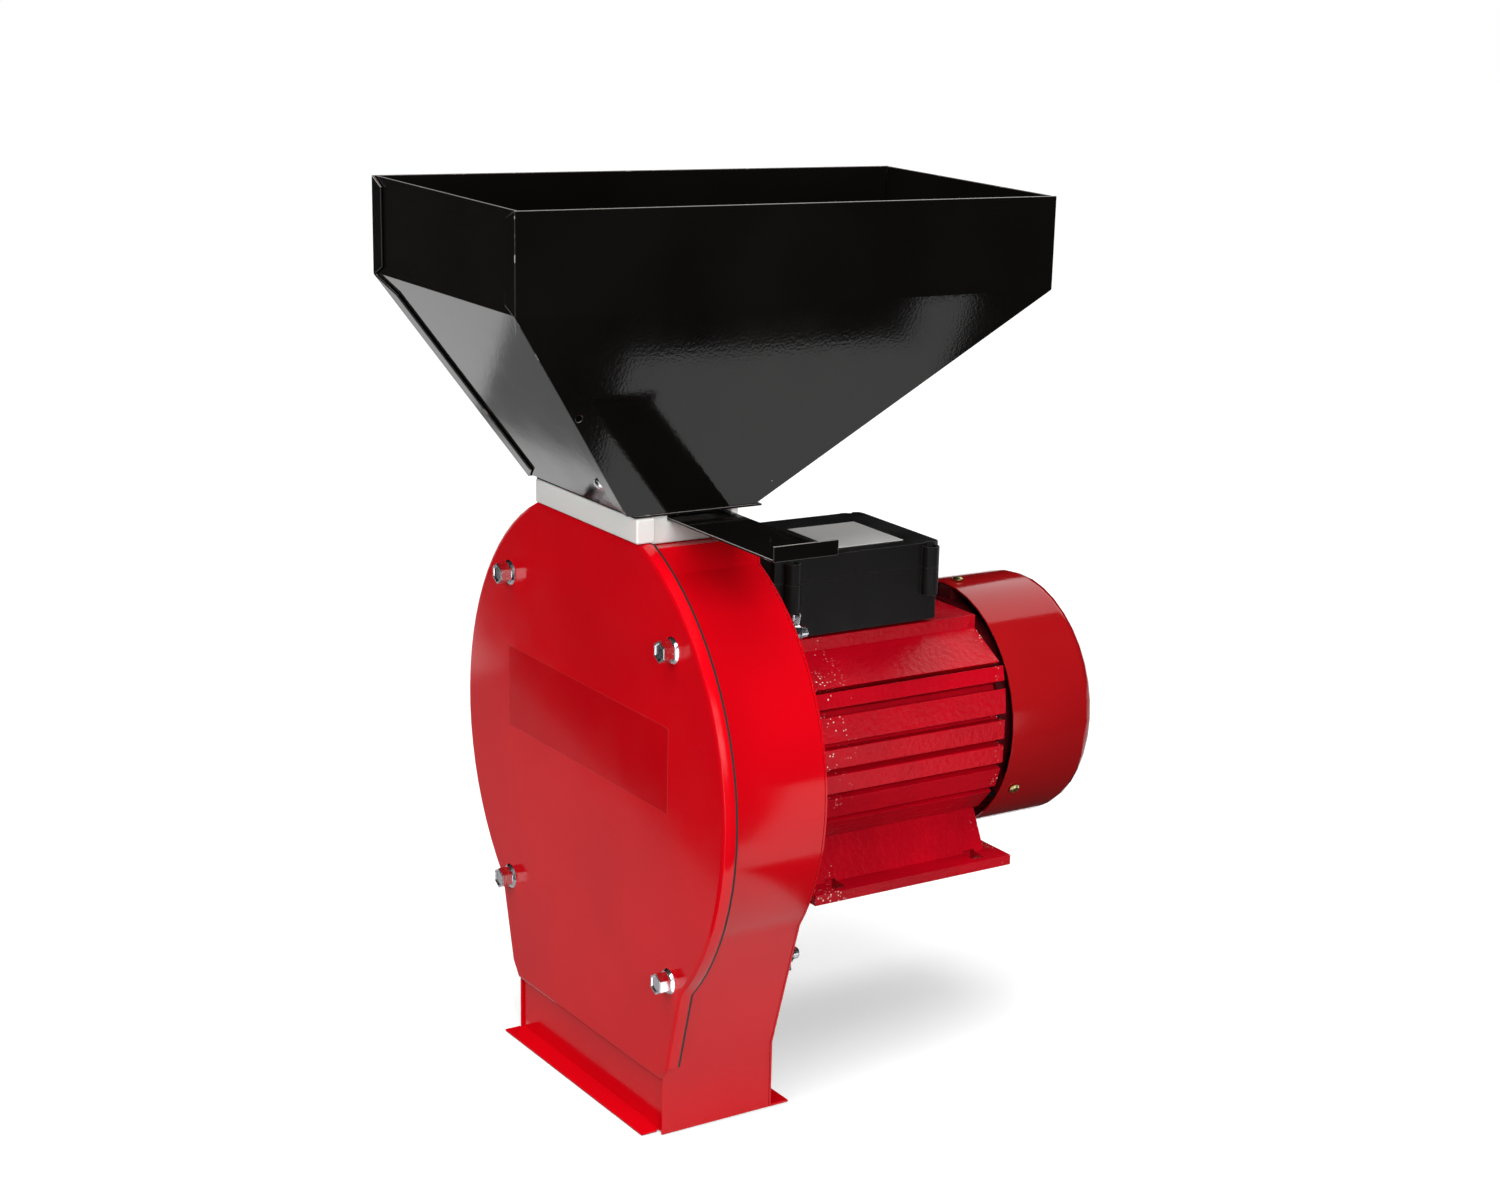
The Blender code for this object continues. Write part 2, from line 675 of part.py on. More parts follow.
def make_hopper_side(name, side, black):
    """A long panel: upright band, sloping part and a flange bent round each end of both."""

    def point(height, rear, along=0.0):
        """On the seam between side and end, or that far from it along the end."""
        seam = hopper_half(height)
        return place(side * (seam - along), hopper_end(height, rear), height)

    faces = []
    for high, low in ((HOPPER_TOP, HOPPER_FOLD), (HOPPER_FOLD, HOPPER_OUTLET)):
        faces.append([point(high, False), point(low, False), point(low, True), point(high, True)])
    for rear in (False, True):
        band_top = HOPPER_TOP - FLANGE_CHAMFER
        band_low = HOPPER_FOLD + FLANGE_CHAMFER
        slope_top = HOPPER_FOLD - 2 * FLANGE_CHAMFER
        slope_low = HOPPER_OUTLET + FLANGE_CHAMFER
        faces.append(
            [
                point(HOPPER_TOP, rear),
                point(band_top, rear, HOPPER_FLANGE),
                point(band_low, rear, HOPPER_FLANGE),
                point(HOPPER_FOLD, rear),
            ]
        )
        faces.append(
            [
                point(HOPPER_FOLD, rear),
                point(slope_top, rear, HOPPER_FLANGE),
                point(slope_low, rear, HOPPER_FLANGE),
                point(HOPPER_OUTLET, rear),
            ]
        )
    middle = place(0.0, HOPPER_FRONT + HOPPER_LENGTH / 2, HOPPER_TOP)
    return folded_sheet(name, faces, middle, black)


def make_hopper_end(name, rear, black):
    """An end panel, within the side panels' flanges."""
    inside = HOPPER_SHEET + HOPPER_PLAY
    heights = (HOPPER_TOP, HOPPER_FOLD, HOPPER_OUTLET)
    path = [(hopper_end(height, rear), height) for height in heights]
    path = inset(path, inside if rear else -inside, closed=False)
    corners = []
    for (depth, height), level in zip(path, heights):
        half = hopper_half(height) - 1.3 * inside
        corners.append((place(-half, depth, height), place(half, depth, height)))
    faces = []
    for (low_left, low_right), (high_left, high_right) in zip(corners, corners[1:]):
        faces.append([low_left, low_right, high_right, high_left])
    middle = place(0.0, HOPPER_FRONT + HOPPER_LENGTH / 2, HOPPER_TOP)
    return folded_sheet(name, faces, middle, black)


def make_hopper_base(black):
    """The plate under the hopper's outlet, which closes the gate's channel from above."""
    bottom = NECK_TOP + GAP
    top = HOPPER_OUTLET - GAP
    half, front, back = THROAT
    edge = [
        (-OUTLET_HALF, BAR_FRONT),
        (OUTLET_HALF, BAR_FRONT),
        (OUTLET_HALF, HOPPER_BASE_BACK),
        (-OUTLET_HALF, HOPPER_BASE_BACK),
    ]
    hole = [(-half, front), (half, front), (half, back), (-half, back)]
    rings = [at_height(edge, bottom), at_height(edge, top)]
    pierced("hopper_base", rings, [(at_height(hole, bottom), at_height(hole, top))], black)


def make_hopper_screw(zinc, panel):
    """A small screw through the front panel, square to its slope; its hole is cut in the panel."""
    across, height = HOPPER_SCREW
    lean = math.atan2(OUTLET_FRONT - HOPPER_FRONT, HOPPER_FOLD - HOPPER_OUTLET)
    depth = hopper_end(height, False) + (HOPPER_SHEET + HOPPER_PLAY) / math.cos(lean)

    def ring(radius, out):
        points = []
        for sideways, up in circle(radius, 10):
            along = depth - out * math.cos(lean) - up * math.sin(lean)
            risen = height - out * math.sin(lean) + up * math.cos(lean)
            points.append(place(across + sideways, along, risen))
        return points

    profile = [
        (SCREW_HEAD_RADIUS * SCREW_CROWN, SCREW_HEAD),
        (SCREW_HEAD_RADIUS, SCREW_HEAD * 0.4),
        (SCREW_HEAD_RADIUS, GAP),
        (SCREW_RADIUS, GAP),
        (SCREW_RADIUS, GAP - SCREW_LENGTH),
    ]
    lofted("hopper_screw", [ring(radius, out) for radius, out in profile], zinc)
    hole = [ring(SCREW_RADIUS + GAP, SCREW_LENGTH), ring(SCREW_RADIUS + GAP, -SCREW_LENGTH)]
    combine(panel, lofted("hopper_screw_hole", hole, None, hidden=True), "DIFFERENCE")


def make_rotor_carrier(steel):
    """Hub and three discs in one weldment, bored for the shaft and for the hammer pins."""
    bore = SHAFT_RADIUS + GAP
    profile = [(bore, DISC_DEPTHS[0])]
    for depth in DISC_DEPTHS:
        profile += [(HUB_RADIUS, depth), (DISC_RADIUS, depth)]
        profile += [(DISC_RADIUS, depth + DISC), (HUB_RADIUS, depth + DISC)]
    profile.remove((HUB_RADIUS, DISC_DEPTHS[0]))
    profile[-1] = (bore, ROTOR_BACK)
    carrier = turned("rotor_carrier", profile, steel, sides=28, capped=False)
    cut = [(PIN_RADIUS + GAP, DISC_DEPTHS[0] - DISC), (PIN_RADIUS + GAP, ROTOR_BACK + DISC)]
    for i, centre in enumerate(PIN_CENTRES, 1):
        hole = turned(f"pin_hole_{i}", cut, None, centre, 10, hidden=True)
        combine(carrier, hole, "DIFFERENCE")


def make_pin(number, centre, steel):
    head = DISC_DEPTHS[0] - GAP
    profile = [
        (PIN_HEAD_RADIUS, head - PIN_HEAD),
        (PIN_HEAD_RADIUS, head),
        (PIN_RADIUS, head),
        (PIN_RADIUS, ROTOR_BACK + PIN_HEAD),
    ]
    turned(f"hammer_pin_{number}", profile, steel, centre, 10)


def make_hammer(number, centre, bay, at_front, steel):
    """A flat hammer with a bush at its eye as long as the bay; it hangs straight down from its pin."""
    near = DISC_DEPTHS[bay] + DISC + HAMMER_PLAY
    far = DISC_DEPTHS[bay] + DISC + BAY - HAMMER_PLAY
    blade = (near, near + HAMMER_THICKNESS) if at_front else (far - HAMMER_THICKNESS, far)
    x, z = centre
    half = HAMMER_WIDTH / 2
    crown = [polar(half, 30 * i, centre) for i in range(7)]
    outline = crown + [(x - half, z - HAMMER_REACH), (x + half, z - HAMMER_REACH)]
    hammer = lofted(f"hammer_{number}", [at_depth(outline, depth) for depth in blade], steel)
    tube = [(HAMMER_BUSH_RADIUS, near), (HAMMER_BUSH_RADIUS, far)]
    eye = [(PIN_RADIUS + GAP, near - DISC), (PIN_RADIUS + GAP, far + DISC)]
    bush = turned(f"bush_{number}", tube, None, centre, 12, hidden=True)
    bore = turned(f"eye_{number}", eye, None, centre, 10, hidden=True)
    combine(hammer, bush, "UNION")
    combine(hammer, bore, "DIFFERENCE")


def make_shaft(steel):
    """Motor shaft, from the rotor's front end to the fan; its front end is tapped for the rotor's bolt."""
    nose = DISC_DEPTHS[0] + GAP
    hole = ROTOR_SCREW_RADIUS + GAP
    bearing_ends = (FRONT_BEARING - 2 * GAP, REAR_BEARING + BEARING_WIDTH + 2 * GAP)
    step = STATOR[0] - WINDING_OVERHANG
    profile = [
        (hole, nose + ROTOR_SCREW_LENGTH),
        (hole, nose),
        (SHAFT_RADIUS, nose),
        (SHAFT_RADIUS, bearing_ends[0]),
        (BEARING_BORE_RADIUS, bearing_ends[0]),
        (BEARING_BORE_RADIUS, step),
        (CORE_SHAFT_RADIUS, step),
        (CORE_SHAFT_RADIUS, STATOR[1] + WINDING_OVERHANG),
        (BEARING_BORE_RADIUS, STATOR[1] + WINDING_OVERHANG),
        (BEARING_BORE_RADIUS, bearing_ends[1]),
        (FAN_SHAFT_RADIUS, bearing_ends[1]),
        (FAN_SHAFT_RADIUS, FAN[1] + FAN_BLADE),
    ]
    turned("motor_shaft", profile, steel, sides=16)
    seat = DISC_DEPTHS[0] - GAP
    sides = 12
    head = seat - ROTOR_WASHER
    washer = circle(ROTOR_WASHER_RADIUS, sides, SHAFT)
    shank = circle(ROTOR_SCREW_RADIUS, sides, SHAFT)
    rings = [
        at_depth(hexagon(ROTOR_HEX, sides, SHAFT), head - ROTOR_HEX_HEIGHT),
        at_depth(hexagon(ROTOR_HEX, sides, SHAFT), head),
        at_depth(washer, head),
        at_depth(washer, seat),
        at_depth(shank, seat),
        at_depth(shank, nose + ROTOR_SCREW_LENGTH - GAP),
    ]
    lofted("rotor_bolt", rings, steel)


def housing_side():
    """Right side of the housing from the flat on top down to the underside: ribs and the grooves between."""
    points = [(SEAT_HALF, SEAT_HEIGHT)]
    faces = [[(x, SHAFT_HEIGHT + z) for x, z in edges] for edges in RIB_FACES]
    for i, (upper, lower) in enumerate(faces):
        if i:
            for x, z in (faces[i - 1][1], upper):
                points.append(polar(FRAME_RADIUS, math.degrees(math.atan2(z - SHAFT_HEIGHT, x)), SHAFT))
        points.append(upper)
        points.append(lower)
    return points + [polar(FRAME_RADIUS, degrees, SHAFT) for degrees in (-55, -68, -80)]


def make_housing(red):
    """Ribbed motor housing cast in one with its two feet."""
    outline = mirrored(housing_side())
    bore = circle(HOUSING_BORE, 40, SHAFT)
    near, far = HOUSING
    housing = pierced(
        "motor_housing",
        [at_depth(outline, near), at_depth(outline, far)],
        [(at_depth(bore, near), at_depth(bore, far))],
        red,
    )
    foot_top = OUTLET_DROP + FOOT_THICKNESS
    for side in (-1, 1):
        web = [(side * x, OUTLET_DROP + z) for x, z in LEG]
        web.append((side * LEG_FOOT[0], foot_top - GAP))
        web.append((side * LEG_FOOT[1], foot_top - GAP))
        leg = lofted(f"leg_{side}", [at_depth(web, depth) for depth in FOOT_WEB], None, hidden=True)
        foot = block(
            f"foot_{side}",
            sorted((side * FOOT_INNER, side * FOOT_HALF)),
            FOOT,
            (OUTLET_DROP, foot_top),
            hidden=True,
        )
        combine(housing, leg, "UNION")
        combine(housing, foot, "UNION")
        for end in (-1, 1):
            middle = (side * FOOT_SLOT[0], COVER_REACH + end * FOOT_SLOT[1])
            slot = block(
                f"foot_slot_{side}_{end}",
                (middle[0] - FOOT_SLOT_LENGTH / 2, middle[0] + FOOT_SLOT_LENGTH / 2),
                (middle[1] - FOOT_SLOT_WIDTH / 2, middle[1] + FOOT_SLOT_WIDTH / 2),
                (OUTLET_DROP - SHEET, foot_top + SHEET),
                hidden=True,
            )
            combine(housing, slot, "DIFFERENCE")
    return housing


def make_motor_inside(steel, copper, aluminium):
    bore = STATOR_BORE
    outer = HOUSING_BORE - GAP
    front, back = STATOR
    stack = [(bore, front), (outer, front), (outer, back), (bore, back)]
    turned("stator_core", stack, steel, sides=32, capped=False)
    winding = [
        (WINDING_BORE, front - WINDING_OVERHANG),
        (WINDING_RADIUS, front - WINDING_OVERHANG),
        (WINDING_RADIUS, front - GAP),
        (bore - GAP, front - GAP),
        (bore - GAP, back + GAP),
        (WINDING_RADIUS, back + GAP),
        (WINDING_RADIUS, back + WINDING_OVERHANG),
        (WINDING_BORE, back + WINDING_OVERHANG),
    ]
    turned("stator_winding", winding, copper, sides=24, capped=False)
    core = [
        (CORE_SHAFT_RADIUS + GAP, front),
        (WINDING_BORE - AIR_GAP, front),
        (WINDING_BORE - AIR_GAP, back),
        (CORE_SHAFT_RADIUS + GAP, back),
    ]
    turned("rotor_core", core, aluminium, sides=24, capped=False)
    for name, depth in (("front_bearing", FRONT_BEARING), ("rear_bearing", REAR_BEARING)):
        ring = [
            (BEARING_BORE_RADIUS + GAP, depth),
            (BEARING_RADIUS, depth),
            (BEARING_RADIUS, depth + BEARING_WIDTH),
            (BEARING_BORE_RADIUS + GAP, depth + BEARING_WIDTH),
        ]
        turned(name, ring, steel, sides=20, capped=False)


def make_end_shields(aluminium):
    """Each end shield has a bearing pocket in a boss and a spigot in the housing's bore."""
    pocket = BEARING_RADIUS + GAP
    boss = pocket + SHIELD_WALL / 2
    shaft_hole = SHAFT_RADIUS + SHAFT_CLEARANCE
    spigot = HOUSING_BORE - GAP
    rim = spigot - SHIELD_WALL / 2
    near, far = HOUSING
    front = [
        (shaft_hole, SHIELD_FRONT),
        (SHIELD_RADIUS, SHIELD_FRONT),
        (SHIELD_RADIUS, near - GAP),
        (spigot, near - GAP),
        (spigot, near + SPIGOT),
        (rim, near + SPIGOT),
        (rim, SHIELD_FRONT + SHIELD_WALL),
        (boss, SHIELD_FRONT + SHIELD_WALL),
        (boss, FRONT_BEARING + BEARING_WIDTH),
        (pocket, FRONT_BEARING + BEARING_WIDTH),
        (pocket, FRONT_BEARING - GAP),
        (shaft_hole, FRONT_BEARING - GAP),
    ]
    turned("front_end_shield", front, aluminium, sides=28, capped=False)
    pocket_floor = REAR_BEARING + BEARING_WIDTH + GAP
    outside = far + SHIELD_WALL
    rear = [
        (shaft_hole, outside),
        (SHIELD_RADIUS, outside),
        (SHIELD_RADIUS, far + GAP),
        (spigot, far + GAP),
        (spigot, far - SPIGOT),
        (rim, far - SPIGOT),
        (rim, far + SHIELD_WALL / 2),
        (boss, far + SHIELD_WALL / 2),
        (boss, REAR_BEARING),
        (pocket, REAR_BEARING),
        (pocket, pocket_floor),
        (shaft_hole, pocket_floor),
    ]
    shield = turned("rear_end_shield", rear, aluminium, sides=28, capped=False)
    inside = FAN_COVER_RADIUS - FAN_COVER_SHEET
    near, far = HOUSING[1] + SHIELD_WALL / 2, LUG_END
    half = LUG_WIDTH / 2
    section = [(-half, near), (half, near), (half, far), (-half, far)]
    for number, degrees in enumerate(FAN_SCREW_ANGLES, 1):
        reach = (SHIELD_RADIUS - SHIELD_WALL, inside - 4 * GAP)
        lug = lofted(f"shield_lug_{number}", radial(section, degrees, reach), None, hidden=True)
        combine(shield, lug, "UNION")
        reach = (SHIELD_RADIUS - 2 * SHIELD_WALL, inside)
        hole = circle(SCREW_RADIUS + GAP, 8, (0.0, FAN_COVER_SCREW_DEPTH))
        cutter = lofted(f"lug_hole_{number}", radial(hole, degrees, reach), None, hidden=True)
        combine(shield, cutter, "DIFFERENCE")


def radial(section, degrees, distances):
    """A section of sideways and depth values as rings at distances from the shaft, out along an angle."""
    angle = math.radians(degrees)
    rings = []
    for distance in distances:
        ring = []
        for sideways, depth in section:
            x = distance * math.cos(angle) - sideways * math.sin(angle)
            z = distance * math.sin(angle) + sideways * math.cos(angle)
            ring.append(place(x, depth, SHAFT_HEIGHT + z))
        rings.append(ring)
    return rings


def make_fan(plastic):
    """Straight-bladed cooling fan, cut out of one outline so that it blows the same either way."""
    outline = []
    step = 2 * math.pi / FAN_BLADES
    root = math.asin(FAN_BLADE / 2 / FAN_HUB_RADIUS)
    tip = math.asin(FAN_BLADE / 2 / FAN_RADIUS)
    for i in range(FAN_BLADES):
        angle = step * (i + 0.5)
        for radius, turn in (
            (FAN_HUB_RADIUS, -root),
            (FAN_RADIUS, -tip),
            (FAN_RADIUS, tip),
            (FAN_HUB_RADIUS, root),
            (FAN_HUB_RADIUS, step / 2),
        ):
            outline.append(
                (radius * math.cos(angle + turn), SHAFT_HEIGHT + radius * math.sin(angle + turn))
            )
    bore = circle(FAN_SHAFT_RADIUS + GAP, 16, SHAFT)
    near, far = FAN
    pierced(
        "cooling_fan",
        [at_depth(outline, near), at_depth(outline, far)],
        [(at_depth(bore, near), at_depth(bore, far))],
        plastic,
    )


def make_fan_cover(red, brass):
    """Pressed fan cover with radial air slots in its back and three screws through its front rim."""
    near, far = FAN_COVER
    sheet = FAN_COVER_SHEET
    outer = [(FAN_COVER_RADIUS, near)]
    inner = [(FAN_COVER_RADIUS - sheet, near)]
    steps = 3
    for i in range(steps + 1):
        angle = math.pi / 2 * i / steps
        for points, wall in ((outer, 0.0), (inner, sheet)):
            bend = FAN_COVER_BEND - wall
            radius = FAN_COVER_RADIUS - FAN_COVER_BEND + bend * math.cos(angle)
            points.append((radius, far - FAN_COVER_BEND + bend * math.sin(angle)))
    cover = turned("fan_cover", inner[::-1] + outer, red, sides=40)

    def slots(bm):
        half = GRILLE_SLOT_WIDTH / 2
        depths = (far - 2 * sheet, far + sheet)
        section = [(-half, depths[0]), (half, depths[0]), (half, depths[1]), (-half, depths[1])]
        for i in range(GRILLE_SLOTS):
            join_rings(bm, radial(section, 360 * (i + 0.5) / GRILLE_SLOTS, GRILLE))

    combine(cover, add_object("air_slots", slots, None, hidden=True), "DIFFERENCE")
    head = SCREW_HEAD
    radius = FAN_COVER_RADIUS
    for number, degrees in enumerate(FAN_SCREW_ANGLES, 1):
        hole = circle(SCREW_RADIUS + GAP, 8, (0.0, FAN_COVER_SCREW_DEPTH))
        reach = (radius - 2 * head, radius + head)
        cutter = lofted(f"cover_hole_{number}", radial(hole, degrees, reach), None, hidden=True)
        combine(cover, cutter, "DIFFERENCE")
        rings = []
        for size, distance in (
            (SCREW_HEAD_RADIUS * SCREW_CROWN, radius + head),
            (SCREW_HEAD_RADIUS, radius + head / 2),
            (SCREW_HEAD_RADIUS, radius + GAP),
            (SCREW_RADIUS, radius + GAP),
            (SCREW_RADIUS, radius - 3 * head),
        ):
            section = circle(size, 10, (0.0, FAN_COVER_SCREW_DEPTH))
            rings += radial(section, degrees, [distance])
        lofted(f"fan_cover_screw_{number}", rings, brass)


def rounded(inset_by, corner):
    """The box's outline, in from its outside by a distance, with rounded corners: across and depth."""
    half = BOX_HALF - inset_by
    near = BOX[0] + inset_by
    far = BOX[1] - inset_by
    corner = max(corner, 2 * GAP)
    points = []
    for x, depth, start in (
        (half - corner, far - corner, 0),
        (-half + corner, far - corner, 90),
        (-half + corner, near + corner, 180),
        (half - corner, near + corner, 270),
    ):
        for i in range(3):
            angle = math.radians(start + 45 * i)
            points.append((x + corner * math.cos(angle), depth + corner * math.sin(angle)))
    return points


def make_terminal_box(plastic, zinc, capacitor_body):
    """Plastic box on the motor: tray and lid, screw posts on the long sides, and two capacitors inside."""
    outside = rounded(0.0, BOX_CORNER)
    inside = rounded(BOX_WALL, BOX_CORNER - BOX_WALL)
    pad = rounded(BOX_PAD, BOX_CORNER)
    tray = [
        at_height(pad, SEAT_HEIGHT + GAP),
        at_height(pad, BOX_BOTTOM),
        at_height(outside, BOX_BOTTOM),
        at_height(outside, BOX_SPLIT - GAP / 2),
        at_height(inside, BOX_SPLIT - GAP / 2),
        at_height(inside, BOX_BOTTOM + BOX_WALL),
    ]
    base = lofted("box_base", tray, plastic)
    cap = [
        at_height(inside, BOX_TOP - BOX_WALL),
        at_height(inside, BOX_SPLIT + GAP / 2),
        at_height(outside, BOX_SPLIT + GAP / 2),
        at_height(outside, BOX_TOP),
    ]
    lid = lofted("box_lid", cap, plastic)
    number = 0
    for side in (1, -1):
        for depth in POST_PLACES:
            number += 1
            centre = (side * (BOX_HALF + POST_OUT), depth)
            radius = POST_RADIUS
            lower = [(radius, POST_BOTTOM), (radius, BOX_SPLIT - GAP / 2)]
            upper = [(radius, BOX_SPLIT + GAP / 2), (radius, POST_TOP)]
            combine(base, upright(f"lower_post_{number}", lower, None, centre, hidden=True), "UNION")
            combine(lid, upright(f"upper_post_{number}", upper, None, centre, hidden=True), "UNION")
            shank = SCREW_RADIUS
            head = SCREW_HEAD_RADIUS
            hole = [
                (shank + GAP, LID_SCREW_BOTTOM - GAP),
                (shank + GAP, LID_SCREW_SEAT),
                (head + GAP, LID_SCREW_SEAT),
                (head + GAP, BOX_TOP + BOX_WALL),
            ]
            cutter = upright(f"screw_hole_{number}", hole, None, centre, 8, hidden=True)
            combine(base, cutter, "DIFFERENCE")
            combine(lid, cutter, "DIFFERENCE")
            screw = [
                (shank, LID_SCREW_BOTTOM),
                (shank, LID_SCREW_SEAT + GAP),
                (head, LID_SCREW_SEAT + GAP),
                (head, LID_SCREW_SEAT + SCREW_HEAD),
            ]
            upright(f"lid_screw_{number}", screw, zinc, centre, 8)
    for name, (radius, length, across) in (
        ("start_capacitor", START_CAPACITOR),
        ("run_capacitor", RUN_CAPACITOR),
    ):
        centre = (across, BOX_BOTTOM + BOX_WALL + GAP + radius)
        turned(
            name, [(radius, CAPACITOR_FRONT), (radius, CAPACITOR_FRONT + length)], capacitor_body, centre, 20
        )
    return base


def make_gland(plastic, base):
    """Cable inlet on the box's far side: a flange outside the wall and a bored stub through it."""
    depth, height = GLAND
    wall = -BOX_HALF

    def ring(radius, x):
        return [place(x, depth + along, height + up) for along, up in circle(radius, 12)]

    rings = [
        ring(GLAND_BORE_RADIUS, wall - GLAND_LENGTH),
        ring(GLAND_RADIUS * 0.8, wall - GLAND_LENGTH),
        ring(GLAND_RADIUS, wall - GLAND_LENGTH / 2),
        ring(GLAND_RADIUS, wall - GAP),
        ring(GLAND_THREAD_RADIUS, wall - GAP),
        ring(GLAND_THREAD_RADIUS, wall + BOX_WALL + GLAND_LENGTH / 2),
        ring(GLAND_BORE_RADIUS, wall + BOX_WALL + GLAND_LENGTH / 2),
    ]
    lofted("cable_gland", rings, plastic, capped=False)
    hole = [ring(GLAND_THREAD_RADIUS + GAP, wall + reach * BOX_WALL) for reach in (-1, 2)]
    combine(base, lofted("gland_hole", hole, None, hidden=True), "DIFFERENCE")


def build_mill():
    for existing in list(bpy.data.objects):
        bpy.data.objects.remove(existing, do_unlink=True)
    red = material("red_gloss_paint", RED, 0.22)
    motor_red = material("red_motor_paint", MOTOR_RED, 0.45)
    black = material("black_gloss_paint", BLACK, 0.2)
    plastic = material("black_plastic", BLACK, 0.45)
    zinc = material("bright_zinc", ZINC, 0.3, 1.0)
    brass = material("yellow_zinc", YELLOW_ZINC, 0.35, 1.0)
    steel = material("plain_steel", STEEL, 0.4, 1.0)
    white = material("white_plastic", WHITE, 0.4)
    copper = material("varnished_copper", COPPER, 0.4, 0.8)
    aluminium = material("cast_aluminium", ALUMINIUM, 0.5, 1.0)

    make_cover(red)
    make_wrap(red)
    make_rear_plate(red)
    make_outlet_front(red)
    make_chute(red)
    make_screen(steel)
    for number, centre in enumerate(BOLTS, 1):
        make_bolt(number, centre, zinc)
        make_wing_nut(number, centre, zinc)
    make_neck(white)
    make_gate(black)
    make_hopper_side("hopper_side_right", 1, black)
    make_hopper_side("hopper_side_left", -1, black)
    front_panel = make_hopper_end("hopper_end_front", False, black)
    make_hopper_end("hopper_end_rear", True, black)
    make_hopper_base(black)
    make_hopper_screw(zinc, front_panel)

    make_rotor_carrier(steel)
    number = 0
    for i, centre in enumerate(PIN_CENTRES):
        make_pin(i + 1, centre, steel)
        for bay in (0, 1):
            number += 1
            make_hammer(number, centre, bay, i % 2 == 0, steel)
    make_shaft(steel)

    housing = make_housing(motor_red)
    make_motor_inside(steel, copper, aluminium)
    make_end_shields(aluminium)
    make_fan(plastic)
    make_fan_cover(motor_red, brass)
    base = make_terminal_box(plastic, zinc, aluminium)
    make_gland(plastic, base)
    depth, radius = LEAD_HOLE
    passage = upright(
        "lead_passage",
        [(radius, SEAT_HEIGHT - SHIELD_WALL), (radius, BOX_BOTTOM + 2 * BOX_WALL)],
        None,
        (0.0, depth),
        hidden=True,
    )
    combine(housing, passage, "DIFFERENCE")
    combine(base, passage, "DIFFERENCE")


build_mill()
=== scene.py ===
"""Hammer mill with its hopper, feed gate and foot-mounted motor: the looks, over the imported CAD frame."""

import math

import bpy
from mathutils import Matrix, Vector


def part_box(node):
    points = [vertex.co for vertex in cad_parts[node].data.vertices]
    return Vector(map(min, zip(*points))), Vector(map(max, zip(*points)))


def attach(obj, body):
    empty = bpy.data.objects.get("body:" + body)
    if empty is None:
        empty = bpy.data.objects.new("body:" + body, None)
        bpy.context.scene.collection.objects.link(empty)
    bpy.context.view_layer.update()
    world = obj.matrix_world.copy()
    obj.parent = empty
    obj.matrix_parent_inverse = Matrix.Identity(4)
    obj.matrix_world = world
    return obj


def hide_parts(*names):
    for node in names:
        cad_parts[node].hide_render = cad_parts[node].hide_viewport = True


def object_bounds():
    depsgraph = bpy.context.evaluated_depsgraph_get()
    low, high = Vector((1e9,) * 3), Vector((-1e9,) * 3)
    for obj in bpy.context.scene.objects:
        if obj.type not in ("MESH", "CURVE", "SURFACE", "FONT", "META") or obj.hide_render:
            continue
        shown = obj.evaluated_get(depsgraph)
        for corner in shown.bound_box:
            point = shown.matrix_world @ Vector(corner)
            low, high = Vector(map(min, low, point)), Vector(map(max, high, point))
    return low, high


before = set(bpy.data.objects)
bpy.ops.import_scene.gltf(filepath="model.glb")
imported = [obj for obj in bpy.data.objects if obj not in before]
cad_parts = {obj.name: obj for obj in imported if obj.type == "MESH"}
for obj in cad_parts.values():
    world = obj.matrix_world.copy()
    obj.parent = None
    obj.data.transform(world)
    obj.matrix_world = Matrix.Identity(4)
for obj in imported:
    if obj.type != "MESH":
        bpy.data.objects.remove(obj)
cad_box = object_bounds()
bpy.ops.object.select_all(action="DESELECT")
scene = bpy.context.scene

# Camera: it stands to the right of the mill, a little above the motor and slightly rolled, and its lens
# is shifted a sixth of its frame to the left and a fifteenth up.

aim = Vector((0.1056, 0.0549, 0.1326))
distance = 1.8226
azimuth = math.radians(52.2)
elevation = math.radians(16.66)
roll = math.radians(2.92)
bpy.ops.object.camera_add()
camera = bpy.context.object
camera.name = "camera"
camera.data.sensor_width = 36.0
camera.data.lens = 62.68
camera.data.shift_x = -1 / 6
camera.data.shift_y = 1 / 15
camera.data.clip_end = 50
turn = Matrix.Rotation(azimuth, 4, "Z") @ Matrix.Rotation(math.pi / 2 - elevation, 4, "X")
camera.matrix_world = (
    Matrix.Translation(aim) @ turn @ Matrix.Rotation(roll, 4, "Z") @ Matrix.Translation((0, 0, distance))
)
scene.camera = camera

# Studio: a wide white floor just under the outlet, which throws no light back, and a darker one that
# does so in its place and doesn't show.  Four soft lights and a wide overhead one stand in white air.


def plain_finish(name, colour, roughness, metallic=0.0, **extra):
    """A new material whose shader has these values; details are added to it afterwards."""
    made = bpy.data.materials.new(name)
    made.use_nodes = True
    shader = made.node_tree.nodes["Principled BSDF"]
    shader.inputs["Base Color"].default_value = (*colour, 1.0)
    shader.inputs["Roughness"].default_value = roughness
    shader.inputs["Metallic"].default_value = metallic
    for key, value in extra.items():
        shader.inputs[key.replace("_", " ")].default_value = value
    return made


def wide_floor(name, height, finish):
    """A round floor that reaches out of view on every side."""
    bpy.ops.mesh.primitive_circle_add(vertices=96, radius=14, fill_type="NGON", location=(0, 0, height))
    made = bpy.context.object
    made.name = name
    made.data.materials.append(finish)
    return made


